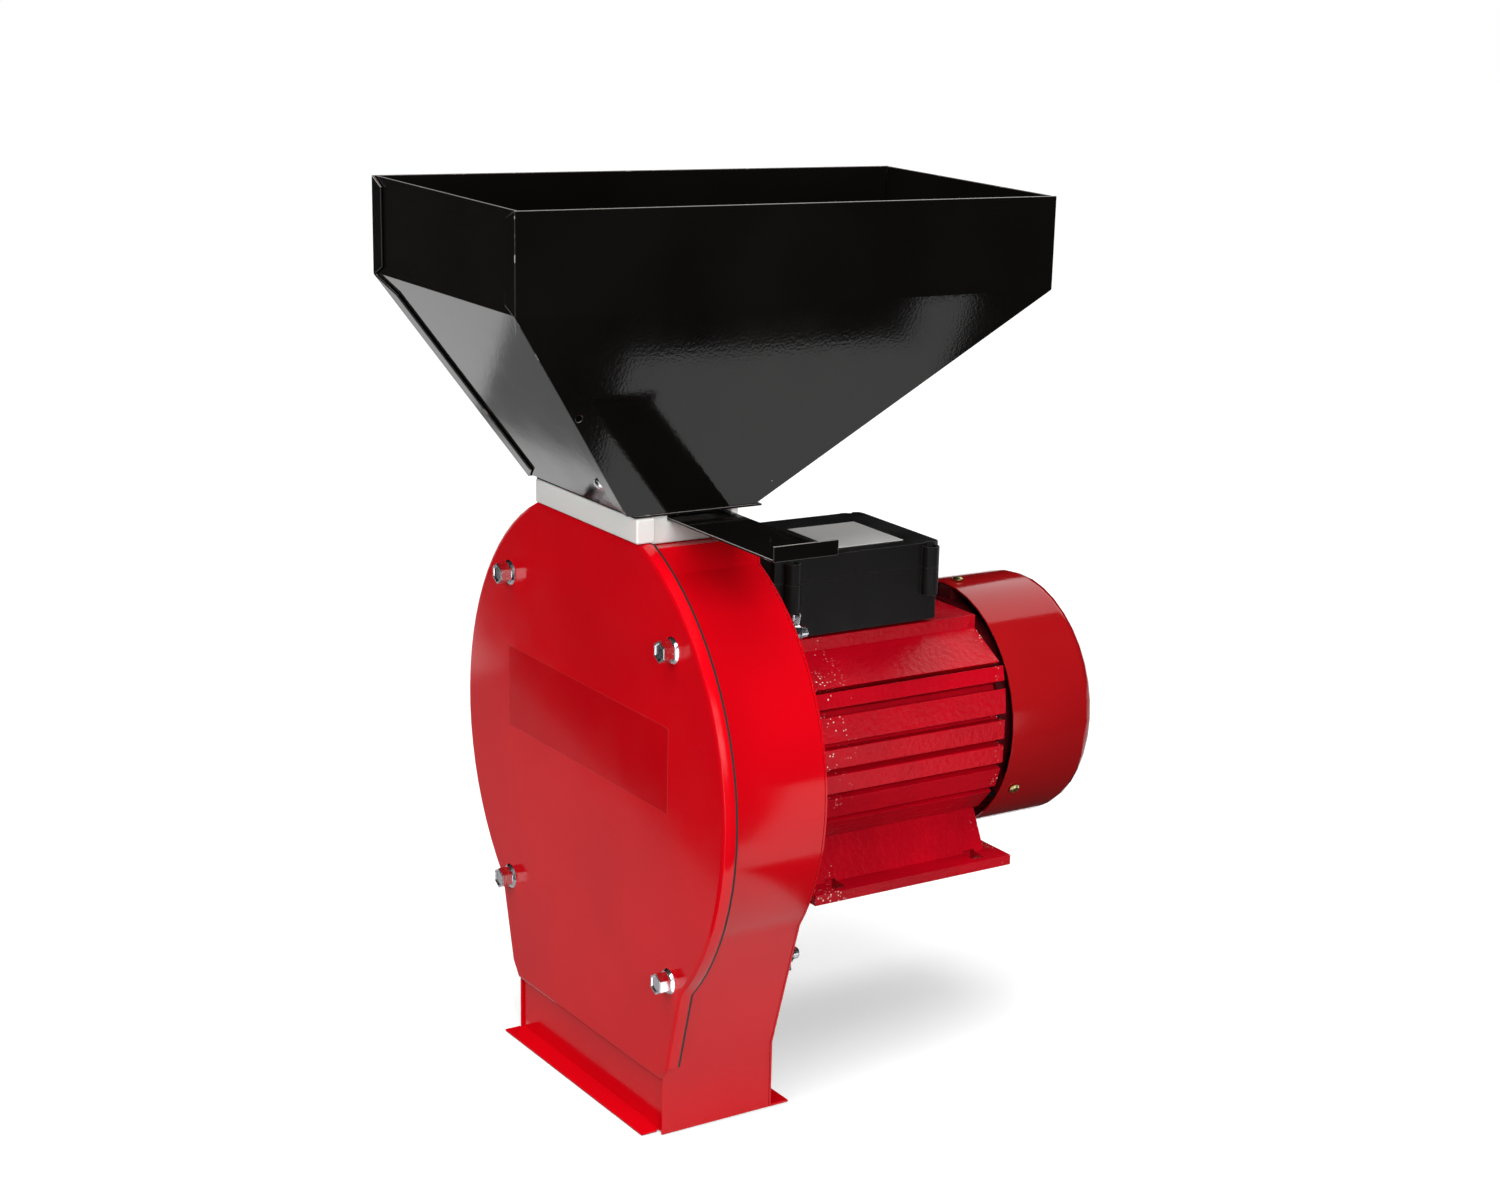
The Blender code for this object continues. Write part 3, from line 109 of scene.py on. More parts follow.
floor_height = cad_box[0][2] - 0.0006
floor_white = plain_finish("floor_paper", (0.93, 0.93, 0.93), 0.7, Emission_Strength=0.3)
floor = wide_floor("floor", floor_height, floor_white)
floor.visible_diffuse = False
bounce_grey = plain_finish("floor_bounce", (0.18, 0.17, 0.17), 0.9)
bounce = wide_floor("floor_bounce", floor_height + 0.0002, bounce_grey)
bounce.visible_camera = False
bounce.visible_glossy = False
bounce.visible_shadow = False
bounce.visible_transmission = False


def soft_light(name, place, aim_at, size, power):
    """A rectangular light that shines on a point and doesn't show itself."""
    bpy.ops.object.light_add(type="AREA", location=place)
    light = bpy.context.object
    light.name = name
    light.data.shape = "RECTANGLE"
    light.data.size, light.data.size_y = size
    light.data.energy = power
    light.rotation_euler = (Vector(aim_at) - Vector(place)).to_track_quat("-Z", "Y").to_euler()
    light.visible_camera = False


soft_light("light_right", place=(2.0, -0.5, 0.9), aim_at=(0.1, -0.05, 0.1), size=(1.0, 1.0), power=38)
soft_light("light_front", place=(0.3, -1.9, 1.05), aim_at=(0, -0.1, 0.1), size=(0.9, 1.1), power=20)
soft_light("light_back", place=(-0.42, 0.95, 1.1), aim_at=(0.05, 0.1, 0.15), size=(0.9, 0.9), power=4.5)
soft_light("light_edge", place=(1.15, -1.55, 0.3), aim_at=(0.15, -0.2, 0.12), size=(0.3, 0.8), power=3)
bpy.ops.object.light_add(type="SUN", rotation=(math.radians(8), math.radians(6), 0))
sky = bpy.context.object
sky.name = "light_ceiling"
sky.data.energy = 2.9
sky.data.angle = math.radians(60)
sky.visible_glossy = False

world = bpy.data.worlds.new("studio_air")
world.use_nodes = True
world.node_tree.nodes["Background"].inputs["Color"].default_value = (1, 1, 1, 1)
world.cycles_visibility.diffuse = False
world.cycles_visibility.glossy = False
scene.world = world
scene.view_settings.view_transform = "Standard"
scene.view_settings.look = "None"

# Cards: dark sheets that only the gloss of the paint sees.  They shape the bands of light on the hopper,
# the casing and the fan cover.  Four stand on the right, one in front on the left, three lie on the floor.


def gloss_card(name, middle, size, turn, shade):
    """A card that only reflections see; size is along its own two sides, turn is in degrees."""
    bpy.ops.mesh.primitive_plane_add(size=1, location=middle, rotation=[math.radians(a) for a in turn])
    card = bpy.context.object
    card.name = name
    card.scale = (*size, 1)
    card.data.materials.append(plain_finish(name, (shade, shade, shade), 0.9))
    card.visible_camera = False
    card.visible_diffuse = False
    card.visible_shadow = False
    card.visible_transmission = False


right_wall = 0.5
facing_left = (90, 0, 90)
facing_cover = (90, 0, 11.3)
lying = (0, 0, 0)
card_height = floor_height + 0.0004
black = 0.01
near_black = 0.02
grey = 0.3
gloss_card("card_right_high", (right_wall, 0.35, 0.61), (1.7, 0.98), facing_left, black)
gloss_card("card_right_low", (right_wall, -0.065, 0.0975), (0.79, 0.045), facing_left, black)
gloss_card("card_right_near", (right_wall, -0.205, -0.03), (0.51, 0.21), facing_left, black)
gloss_card("card_right_back", (right_wall, 0.645, -0.008), (0.51, 0.256), facing_left, black)
gloss_card("card_left", (-1.05, -0.645, 0.4825), (2.345, 1.235), facing_cover, black)
gloss_card("card_floor_front", (-0.415, -0.58, card_height), (1.07, 0.73), lying, grey)
gloss_card("card_floor_motor", (0.1, 0.22, card_height), (0.5, 0.5), lying, near_black)
gloss_card("card_floor_fan", (0.425, 0.6, card_height), (0.15, 0.6), lying, near_black)

# Casing: four pressings of 1.5 mm red sheet and the inlet chute, in gloss powder coat.  The cover is a
# flanged pressing that is bolted on; the wrap, rear plate, outlet plate and chute are welded together.


def select_only(piece):
    """Selects the piece alone and makes it the active one."""
    bpy.ops.object.select_all(action="DESELECT")
    piece.select_set(True)
    bpy.context.view_layer.objects.active = piece


def apply_place(piece):
    """Puts the piece's place, turn and size into its mesh."""
    select_only(piece)
    bpy.ops.object.transform_apply(location=True, rotation=True, scale=True)
    return piece


def copy_of(node, name):
    """A new piece with the CAD node's shape, its flat faces whole again, which stands for the node."""
    piece = bpy.data.objects.new(name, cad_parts[node].data.copy())
    piece.data.materials.clear()
    bpy.context.collection.objects.link(piece)
    select_only(piece)
    bpy.ops.mesh.customdata_custom_splitnormals_clear()
    bpy.ops.object.mode_set(mode="EDIT")
    bpy.ops.mesh.select_all(action="SELECT")
    bpy.ops.mesh.remove_doubles(threshold=0.00001)
    bpy.ops.mesh.dissolve_limited(angle_limit=math.radians(0.3))
    bpy.ops.object.mode_set(mode="OBJECT")
    return piece


def soften(piece, width, segments=2, angle=35, edge_wear_and_highlight=None, crease=None):
    """Rounds the piece's edges and shades its curves smooth, but not its creases.

    worn is the piece's finish and the paler one on its rounded edges: wear and a painted highlight on the
    hopper, a painted highlight on the terminal box; angle and crease are in degrees.
    """
    select_only(piece)
    bevel = piece.modifiers.new("edge", "BEVEL")
    bevel.width = width
    bevel.segments = segments
    bevel.limit_method = "ANGLE"
    bevel.angle_limit = math.radians(angle)
    if edge_wear_and_highlight:
        for finish in edge_wear_and_highlight:
            piece.data.materials.append(finish)
        bevel.material = 1
    bpy.ops.object.modifier_apply(modifier=bevel.name)
    if crease:
        bpy.ops.object.shade_smooth_by_angle(angle=math.radians(crease))
    else:
        bpy.ops.object.shade_smooth()
    weighted = piece.modifiers.new("flats", "WEIGHTED_NORMAL")
    weighted.weight = 80
    weighted.keep_sharp = True
    bpy.ops.object.modifier_apply(modifier=weighted.name)


def fit(piece, body, slot, finish, *nodes):
    """Gives the piece its finish and its place on a body, and hides the CAD nodes that it stands for."""
    if not piece.data.materials:
        piece.data.materials.append(finish)
    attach(piece, body)
    if nodes:
        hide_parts(*nodes)


def add_node(finish, kind, **inputs):
    """A node in the finish's tree with these input values or links; i2 is its third input."""
    node = finish.node_tree.nodes.new(kind)
    for key, value in inputs.items():
        socket = node.inputs[int(key[1:])] if key[1:].isdigit() else node.inputs[key]
        if isinstance(value, bpy.types.NodeSocket):
            finish.node_tree.links.new(value, socket)
        else:
            socket.default_value = value
    return node


def spots(finish, stretch=(1, 1, 1)):
    """Coordinates on the piece in metres, stretched along its axes."""
    where = add_node(finish, "ShaderNodeTexCoord").outputs["Object"]
    return add_node(finish, "ShaderNodeMapping", Vector=where, Scale=stretch).outputs["Vector"]


def mottle(finish, scale, detail=2.0, stretch=(1, 1, 1)):
    """A cloudy pattern from 0 to 1, with this many clouds to the metre."""
    where = spots(finish, stretch)
    node = add_node(finish, "ShaderNodeTexNoise", Vector=where, Scale=scale, Detail=detail)
    return node.outputs["Fac"]


def remap(finish, value, low, high, to_low=0.0, to_high=1.0):
    """The value with low to high stretched to another range, and held at its ends."""
    node = add_node(finish, "ShaderNodeMapRange", i0=value, i1=low, i2=high, i3=to_low, i4=to_high)
    return node.outputs["Result"]


def calc(finish, operation, first, second):
    """One sum on two values."""
    node = add_node(finish, "ShaderNodeMath", i0=first, i1=second)
    node.operation = operation
    return node.outputs["Value"]


def specks(finish, scale, size, share):
    """Small round marks: one in some of the cells of a random pattern."""
    cells = add_node(finish, "ShaderNodeTexVoronoi", Vector=spots(finish), Scale=scale)
    round_mark = calc(finish, "LESS_THAN", cells.outputs["Distance"], size)
    picked = calc(finish, "GREATER_THAN", cells.outputs["Color"], 1 - share)
    return calc(finish, "MULTIPLY", round_mark, picked)


def tint(finish, amount, first, second):
    """A colour between two, by an amount that varies over the surface."""
    node = finish.node_tree.nodes.new("ShaderNodeMix")
    node.data_type = "RGBA"
    links = finish.node_tree.links
    links.new(amount, node.inputs[0])
    for socket, colour in ((node.inputs[6], first), (node.inputs[7], second)):
        if isinstance(colour, bpy.types.NodeSocket):
            links.new(colour, socket)
        else:
            socket.default_value = (*colour, 1.0)
    return node.outputs[2]


def set_on(finish, socket, value):
    """Links a value to one of the shader's sockets."""
    shader = finish.node_tree.nodes["Principled BSDF"]
    finish.node_tree.links.new(value, shader.inputs[socket])


def relief(finish, height, distance, under=None):
    """Bump from a height of 0 to 1, this many metres high, over another one."""
    node = add_node(finish, "ShaderNodeBump", Height=height, Distance=distance, Strength=1.0)
    if under:
        finish.node_tree.links.new(under, node.inputs["Normal"])
    return node.outputs["Normal"]


def uneven(finish, pattern, smooth, rough):
    """Roughness that follows a cloudy pattern."""
    set_on(finish, "Roughness", remap(finish, pattern, 0.3, 0.7, smooth, rough))


def powder_coat(name, colour, deep, chips, peel, roughness, shine):
    """Powder coat on sheet: orange peel, a slow change of colour, dust specks and a few chips."""
    made = plain_finish(name, colour, roughness, Specular_IOR_Level=shine)
    cloudy = remap(made, mottle(made, scale=9), 0.35, 0.65)
    painted = tint(made, cloudy, colour, deep)
    marks = specks(made, scale=70, size=0.028, share=0.16)
    set_on(made, "Base Color", tint(made, marks, painted, chips))
    uneven(made, mottle(made, scale=35, detail=4), roughness * 0.8, roughness * 1.3)
    set_on(made, "Normal", relief(made, mottle(made, scale=520, detail=1), peel))
    return made


casing_red = powder_coat(
    "casing_red",
    colour=(0.62, 0.001, 0.006),
    deep=(0.56, 0.001, 0.006),
    chips=(0.8, 0.4, 0.36),
    peel=0.000015,
    roughness=0.12,
    shine=0.25,
)
# The rear 1.6 mm of the cover's rim is painted near-black: painted shade for the gap between the rim and
# the wrap.
cover_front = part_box("front_cover")[0][1]
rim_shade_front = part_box("front_cover")[1][1] - 0.0016
rim_gap_shade = plain_finish("rim_gap_shade", (0.012, 0.008, 0.008), 0.8)
cover = copy_of("front_cover", "cover_pressing")
bpy.ops.object.mode_set(mode="EDIT")
bpy.ops.mesh.select_all(action="SELECT")
bpy.ops.mesh.bisect(plane_co=(0, rim_shade_front, 0), plane_no=(0, 1, 0))
bpy.ops.object.mode_set(mode="OBJECT")
for finish in (casing_red, rim_gap_shade):
    cover.data.materials.append(finish)
for face in cover.data.polygons:
    face.material_index = 1 if face.center.y > rim_shade_front else 0
soften(cover, 0.0006, segments=3)
fit(cover, "cover", "casing_red", casing_red, "front_cover")

# A bare clear film, with a few bubbles under it, is stuck across the cover.
film_left, film_right = -0.113, 0.108
film_bottom, film_top = 0.094, 0.152
film_thick = 0.00012
film_gap = 0.00002
film_red = (0.46, 0.0, 0.004)
bpy.ops.mesh.primitive_cube_add(size=1)
film = bpy.context.object
film.name = "clear_film"
film.scale = (film_right - film_left, film_thick, film_top - film_bottom)
film.location = (
    (film_left + film_right) / 2,
    cover_front - film_thick / 2 - film_gap,
    (film_bottom + film_top) / 2,
)
apply_place(film)
film_clear = plain_finish("film_clear", film_red, 0.06, Alpha=0.1, Specular_IOR_Level=0.3)
bubbles = specks(film_clear, scale=95, size=0.09, share=0.1)
set_on(film_clear, "Alpha", remap(film_clear, bubbles, 0, 1, 0.1, 0.35))
set_on(film_clear, "Base Color", tint(film_clear, bubbles, film_red, (0.7, 0.2, 0.2)))
set_on(film_clear, "Normal", relief(film_clear, mottle(film_clear, scale=120, detail=3), 0.00003))
film_edge = plain_finish("film_edge", (0.75, 0.22, 0.2), 0.3, Alpha=0.45)
soften(film, 0.00005, segments=1, edge_wear_and_highlight=(film_clear, film_edge))
fit(film, "cover", None, film_clear)

for node in ("casing_wrap", "rear_plate", "outlet_front_plate", "inlet_chute"):
    sheet = copy_of(node, node + "_sheet")
    soften(sheet, 0.0003)
    fit(sheet, "mill", "casing_red", casing_red, node)

# Neck block: machined from white engineering plastic, slightly translucent, with soft edges.  Fine
# cutter marks run round it.

neck_white = plain_finish(
    "neck_white", (0.70, 0.69, 0.665), 0.42, Subsurface_Weight=0.25, Subsurface_Scale=0.01
)
uneven(neck_white, mottle(neck_white, scale=60, detail=5, stretch=(1, 1, 6)), 0.34, 0.52)
cutter_marks = mottle(neck_white, scale=300, detail=4, stretch=(1, 1, 8))
set_on(neck_white, "Normal", relief(neck_white, cutter_marks, 0.00003))
neck = copy_of("neck_block", "neck_plastic")
soften(neck, 0.0016, segments=4)
fit(neck, "mill", "neck_white", neck_white, "neck_block")

# Hopper and feed gate: 1.2 mm sheet in gloss black powder coat with a coarse orange peel, chipped pale in
# patches on its rounded edges, which also carry a painted pale highlight where they face up.  The gate is a
# flat strip with its end bent up as a grip.

hopper_black = powder_coat(
    "hopper_black",
    colour=(0.003, 0.0026, 0.0024),
    deep=(0.0045, 0.004, 0.0036),
    chips=(0.4, 0.4, 0.4),
    peel=0.00002,
    roughness=0.07,
    shine=0.28,
)
hopper_edge_chips_highlight = plain_finish("hopper_edge_chips_highlight", (0.03, 0.03, 0.03), 0.25)
facing = add_node(hopper_edge_chips_highlight, "ShaderNodeTexCoord").outputs["Normal"]
facing_up = add_node(hopper_edge_chips_highlight, "ShaderNodeSeparateXYZ", i0=facing).outputs["Z"]
# Painted highlight: the rounded edges that face up are painted paler, as the light from above catches them;
# the chips below are real wear.
painted_top_highlight = calc(hopper_edge_chips_highlight, "MULTIPLY", remap(hopper_edge_chips_highlight, facing_up, 0.25, 0.8), 0.85)
chipped = remap(hopper_edge_chips_highlight, mottle(hopper_edge_chips_highlight, scale=110, detail=6), 0.62, 0.68, 0, 0.8)
edge_wear_and_highlight = calc(hopper_edge_chips_highlight, "MAXIMUM", painted_top_highlight, chipped)
set_on(hopper_edge_chips_highlight, "Base Color", tint(hopper_edge_chips_highlight, edge_wear_and_highlight, (0.012, 0.011, 0.011), (0.42, 0.39, 0.37)))


def drill(panel, place, radius):
    """A small round hole through the panel, along X."""
    bpy.ops.mesh.primitive_cylinder_add(
        vertices=24, radius=radius, depth=0.02, location=place, rotation=(0, math.radians(90), 0)
    )
    cutter = bpy.context.object
    select_only(panel)
    hole = panel.modifiers.new("hole", "BOOLEAN")
    hole.object = cutter
    bpy.ops.object.modifier_apply(modifier=hole.name)
    bpy.data.objects.remove(cutter)


panel_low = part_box("hopper_side_right")[0]
spare_hole = (0.0833, panel_low[1] + 0.0508, panel_low[2] + 0.0687)
panels = [
    "hopper_side_left",
    "hopper_side_right",
    "hopper_end_front",
    "hopper_end_rear",
    "hopper_base",
]
for node in panels:
    panel = copy_of(node, node + "_panel")
    if node == "hopper_side_right":
        drill(panel, spare_hole, radius=0.0022)
    soften(panel, 0.0004, angle=50, edge_wear_and_highlight=(hopper_black, hopper_edge_chips_highlight), crease=8)
    fit(panel, "mill", "hopper_black", hopper_black, node)
gate = copy_of("feed_gate", "gate_strip")
soften(gate, 0.0004, angle=50, edge_wear_and_highlight=(hopper_black, hopper_edge_chips_highlight), crease=8)
fit(gate, "gate", "hopper_black", hopper_black, "feed_gate")

# Cover bolts and wing nuts: M8 flange bolts through the cover and the rear plate, bright zinc plated,
# and the hopper's screw.  One bolt and one nut are modelled on the middle line, then copied to the four.

bright_zinc = plain_finish("bright_zinc", (0.72, 0.73, 0.76), 0.2, 1.0)
uneven(bright_zinc, mottle(bright_zinc, scale=400, detail=4), 0.12, 0.3)
set_on(bright_zinc, "Normal", relief(bright_zinc, mottle(bright_zinc, scale=900), 0.00002))


def joined(name, *parts):
    """Parts made into one piece; the first one keeps its finish."""
    bpy.ops.object.select_all(action="DESELECT")
    for part in parts:
        part.select_set(True)
    bpy.context.view_layer.objects.active = parts[0]
    bpy.ops.object.join()
    parts[0].name = name
    return parts[0]


def rod(radius, near, far, sides=32, tip=None):
    """A cylinder along Y from near to far on the middle line; tip is its radius at the far end."""
    bpy.ops.mesh.primitive_cone_add(
        vertices=sides,
        radius1=radius,
        radius2=radius if tip is None else tip,
        depth=far - near,
        location=(0, (near + far) / 2, 0),
        rotation=(-math.pi / 2, 0, 0),
    )
    return apply_place(bpy.context.object)


def pick_faces(piece, wanted):
    """Selects the faces for which wanted(face) is true, and leaves the piece in edit mode."""
    select_only(piece)
    bpy.ops.object.mode_set(mode="EDIT")
    bpy.ops.mesh.select_mode(type="FACE")
    bpy.ops.mesh.select_all(action="DESELECT")
    bpy.ops.object.mode_set(mode="OBJECT")
    for face in piece.data.polygons:
        face.select = wanted(face)
    bpy.ops.object.mode_set(mode="EDIT")


def push_out(along_y):
    """Extrudes the selected faces this far along Y."""
    bpy.ops.mesh.extrude_region_move(TRANSFORM_OT_translate={"value": (0, along_y, 0)})


def threaded_rod(radius, near, far, pitch):
    """A rod with a crest and a root on every turn of its thread."""
    piece = rod(radius, near, near + pitch / 4, sides=24)
    pick_faces(piece, lambda face: face.normal.y > 0.9)
    root = 0.87
    for _ in range(int((far - near) / pitch)):
        for growth in (1 / root, 1.0, root, 1.0):
            push_out(pitch / 4)
            bpy.ops.transform.resize(value=(growth, 1, growth))
    bpy.ops.object.mode_set(mode="OBJECT")
    return piece


def stand_at(piece, name, place):
    """A copy of the piece, moved to its place in its own mesh."""
    copy = bpy.data.objects.new(name, piece.data.copy())
    bpy.context.collection.objects.link(copy)
    copy.data.transform(Matrix.Translation(place))
    return copy


# The bolt's parts start at the cover's face, with the head in front of it.
bolt_low, bolt_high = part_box("cover_bolt_1")
head_height = cover_front - bolt_low[1]
across_flats = 0.013
washer_thick = 0.0018
washer = rod(0.0074, -washer_thick, 0, sides=48, tip=0.009)
soften(washer, 0.0003)
hexagon_radius = across_flats / 2 / math.cos(math.pi / 6)
hexagon = rod(hexagon_radius, 0.0004 - head_height, 0.0002 - washer_thick, sides=6)
pick_faces(hexagon, lambda face: face.normal.y < -0.9)
bpy.ops.mesh.inset(thickness=0.0007)
push_out(-0.0003)
bpy.ops.mesh.inset(thickness=0.0006)
push_out(0.0009)
bpy.ops.transform.resize(value=(0.9, 1, 0.9))
bpy.ops.object.mode_set(mode="OBJECT")
soften(hexagon, 0.0003, segments=3, angle=20)
shank_end = 0.076
thread_end = bolt_high[1] - cover_front - 0.0006
shank = rod(0.0038, -0.001, shank_end, sides=24)
thread = threaded_rod(0.0035, shank_end - 0.0005, thread_end, pitch=0.00125)
soften(shank, 0.0001)
bolt = joined("bolt", washer, hexagon, shank, thread)

# The nut's two wings lean back and grow a little wider towards their tips.
collar = rod(0.0068, 0, 0.0056, tip=0.0056)
soften(collar, 0.0004)
bpy.ops.mesh.primitive_cube_add(size=1)
wing = bpy.context.object
wing.scale = (0.0024, 0.0052, 0.008)
wing.location = (0, 0.0032, 0.0085)
apply_place(wing)
pick_faces(wing, lambda face: face.normal.z > 0.9)
bpy.ops.transform.translate(value=(0, 0.0012, 0))
bpy.ops.transform.resize(value=(0.8, 1.1, 1))
bpy.ops.object.mode_set(mode="OBJECT")
soften(wing, 0.0009, segments=3)
other_wing = stand_at(wing, "other_wing", (0, 0, 0))
other_wing.data.transform(Matrix.Rotation(math.pi, 4, "Y"))
nut = joined("nut", collar, wing, other_wing)

for i in range(1, 5):
    low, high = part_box(f"cover_bolt_{i}")
    middle_x = (low[0] + high[0]) / 2
    middle_z = (low[2] + high[2]) / 2
    flange_bolt = stand_at(bolt, f"flange_bolt_{i}", (middle_x, cover_front, middle_z))
    fit(flange_bolt, "cover", "bright_zinc", bright_zinc, f"cover_bolt_{i}")
    nut_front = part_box(f"wing_nut_{i}")[0][1]
    wing_nut = stand_at(nut, f"wing_nut_{i}_casting", (middle_x, nut_front, middle_z))
    fit(wing_nut, f"wing_nut_{i}", "bright_zinc", bright_zinc, f"wing_nut_{i}")
for pattern in (bolt, nut):
    bpy.data.objects.remove(pattern)
hopper_screw = copy_of("hopper_screw", "hopper_screw_head")
soften(hopper_screw, 0.0003)
fit(hopper_screw, "mill", "bright_zinc", bright_zinc, "hopper_screw")

# Rotor and hammers: oiled bare steel, turned and flame-cut, with the seat ring of the screen.

plain_steel = plain_finish("plain_steel", (0.42, 0.41, 0.40), 0.36, 1.0)
clouds = mottle(plain_steel, scale=30, detail=6)
set_on(plain_steel, "Base Color", tint(plain_steel, clouds, (0.32, 0.31, 0.30), (0.5, 0.49, 0.47)))
uneven(plain_steel, mottle(plain_steel, scale=150, detail=5), 0.28, 0.5)
rotor_nodes = ["rotor_carrier", "rotor_bolt", "motor_shaft"] + [f"hammer_pin_{i}" for i in range(1, 5)]
for node in rotor_nodes:
    piece = copy_of(node, node + "_steel")
    soften(piece, 0.0004)
    fit(piece, "rotor", "plain_steel", plain_steel, node)
for i in range(1, 9):
    hammer = copy_of(f"hammer_{i}", f"hammer_{i}_steel")
    soften(hammer, 0.0005)
    fit(hammer, f"hammer_{i}", "plain_steel", plain_steel, f"hammer_{i}")
ring = copy_of("screen_ring", "screen_ring_steel")
soften(ring, 0.0002)
fit(ring, "mill", "plain_steel", plain_steel, "screen_ring")

# Screen: a strip of perforated steel rolled round the rotor and open at the top, under the inlet.  One
# square with a round hole is repeated in rows along the shaft, and the column is then spun round it.

screen_low, screen_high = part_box("screen")
screen_radius = (screen_high[0] - screen_low[0]) / 2
half_opening = math.radians(25)
screen_rows = 11
screen_columns = 102
column_angle = (2 * math.pi - 2 * half_opening) / screen_columns
column_width = 2 * screen_radius * math.sin(column_angle / 2)
row_length = (screen_high[1] - screen_low[1]) / screen_rows
shaft_line = Vector((0, 0, screen_low[2] + screen_radius))
bpy.ops.mesh.primitive_plane_add(size=1)
screen = bpy.context.object
screen.name = "perforated_screen"
screen.scale = (column_width, row_length, 1)
apply_place(screen)
bpy.ops.object.mode_set(mode="EDIT")
bpy.ops.mesh.select_mode(type="VERT")
bpy.ops.mesh.select_all(action="SELECT")
bpy.ops.mesh.subdivide(number_cuts=2)
bpy.ops.mesh.region_to_loop()
bpy.ops.mesh.select_mode(type="VERT")
bpy.ops.mesh.select_all(action="INVERT")
bpy.ops.mesh.delete(type="VERT")
bpy.ops.mesh.primitive_circle_add(vertices=12, radius=0.0019, rotation=(0, 0, math.radians(15)))
bpy.ops.mesh.select_all(action="SELECT")
bpy.ops.mesh.bridge_edge_loops()
bpy.ops.mesh.normals_make_consistent(inside=False)
bpy.ops.object.mode_set(mode="OBJECT")
row = screen.modifiers.new("rows", "ARRAY")
row.count = screen_rows
row.use_relative_offset = False
row.use_constant_offset = True
row.constant_offset_displace = (0, row_length, 0)
row.use_merge_vertices = True
bpy.ops.object.modifier_apply(modifier=row.name)
column_height = screen_radius * math.cos(column_angle / 2)
screen.location = shaft_line + Vector((0, screen_low[1] + row_length / 2, column_height))
apply_place(screen)
to_first_column = Matrix.Rotation(-half_opening - column_angle / 2, 4, "Y")
screen.data.transform(Matrix.Translation(shaft_line) @ to_first_column @ Matrix.Translation(-shaft_line))
bpy.ops.object.mode_set(mode="EDIT")
bpy.ops.mesh.select_all(action="SELECT")
bpy.ops.mesh.spin(
    steps=screen_columns - 1,
    angle=column_angle * (screen_columns - 1),
    center=shaft_line,
    axis=(0, 1, 0),
    dupli=True,
)
bpy.ops.mesh.select_all(action="SELECT")
bpy.ops.mesh.remove_doubles(threshold=0.0001)
bpy.ops.object.mode_set(mode="OBJECT")
screen_sheet = screen.modifiers.new("sheet", "SOLIDIFY")
screen_sheet.thickness = 0.0014
screen_sheet.offset = -1
bpy.ops.object.modifier_apply(modifier=screen_sheet.name)
fit(screen, "screen", "plain_steel", plain_steel, "screen")

# Motor: ribbed housing with cast feet in rough hammered enamel, chipped near both ends of its ribs, and
# a pressed fan cover with yellow zinc screws.  What lies inside keeps the CAD's shapes.

motor_red = plain_finish("motor_red", (0.42, 0.002, 0.010), 0.3, Specular_IOR_Level=0.2)
housing_low, housing_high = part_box("motor_housing")
ribs_front = housing_low[1] + 0.033
ribs_rear = housing_high[1] - 0.006
place = add_node(motor_red, "ShaderNodeTexCoord").outputs["Object"]
along = add_node(motor_red, "ShaderNodeSeparateXYZ", i0=place).outputs["Y"]
near_front = remap(motor_red, along, ribs_front + 0.025, ribs_front)
near_rear = remap(motor_red, along, ribs_rear - 0.012, ribs_rear)
near_ends = calc(motor_red, "MAXIMUM", near_front, near_rear)
patches = remap(motor_red, mottle(motor_red, scale=60), 0.5, 0.6)
end_chips = specks(motor_red, scale=480, size=0.28, share=0.5)
end_chips = calc(motor_red, "MULTIPLY", end_chips, calc(motor_red, "MULTIPLY", near_ends, patches))
few_chips = specks(motor_red, scale=260, size=0.16, share=0.03)
all_chips = calc(motor_red, "MAXIMUM", few_chips, end_chips)
cloudy = remap(motor_red, mottle(motor_red, scale=16, detail=4), 0.35, 0.65)
enamel = tint(motor_red, cloudy, (0.50, 0.001, 0.010), (0.36, 0.001, 0.008))
set_on(motor_red, "Base Color", tint(motor_red, all_chips, enamel, (0.85, 0.72, 0.66)))
hammered = relief(motor_red, mottle(motor_red, scale=240, detail=4), 0.0006)
set_on(motor_red, "Normal", relief(motor_red, mottle(motor_red, scale=900), 0.00005, under=hammered))
housing = copy_of("motor_housing", "housing_casting")
soften(housing, 0.0011, segments=3)
fit(housing, "mill", "motor_red", motor_red, "motor_housing")

fan_cover_red = powder_coat(
    "fan_cover_red",
    colour=(0.36, 0.006, 0.008),
    deep=(0.32, 0.005, 0.007),
    chips=(0.6, 0.3, 0.26),
    peel=0.000015,
    roughness=0.1,
    shine=0.3,
)
fan_cover = copy_of("fan_cover", "fan_cover_pressing")
soften(fan_cover, 0.0004)
fit(fan_cover, "mill", "fan_cover_red", fan_cover_red, "fan_cover")

cast_aluminium = plain_finish("cast_aluminium", (0.55, 0.56, 0.58), 0.5, 1.0)
grain = mottle(cast_aluminium, scale=500, detail=4)
set_on(cast_aluminium, "Normal", relief(cast_aluminium, grain, 0.0001))
copper_winding = plain_finish("copper_winding", (0.62, 0.28, 0.12), 0.35, 1.0)
capacitor_can = plain_finish("capacitor_can", (0.55, 0.56, 0.58), 0.3, 1.0)
yellow_zinc = plain_finish("yellow_zinc", (0.62, 0.50, 0.22), 0.3, 1.0)
passivation = mottle(yellow_zinc, scale=220, detail=3)
set_on(yellow_zinc, "Base Color", tint(yellow_zinc, passivation, (0.7, 0.52, 0.2), (0.5, 0.55, 0.25)))
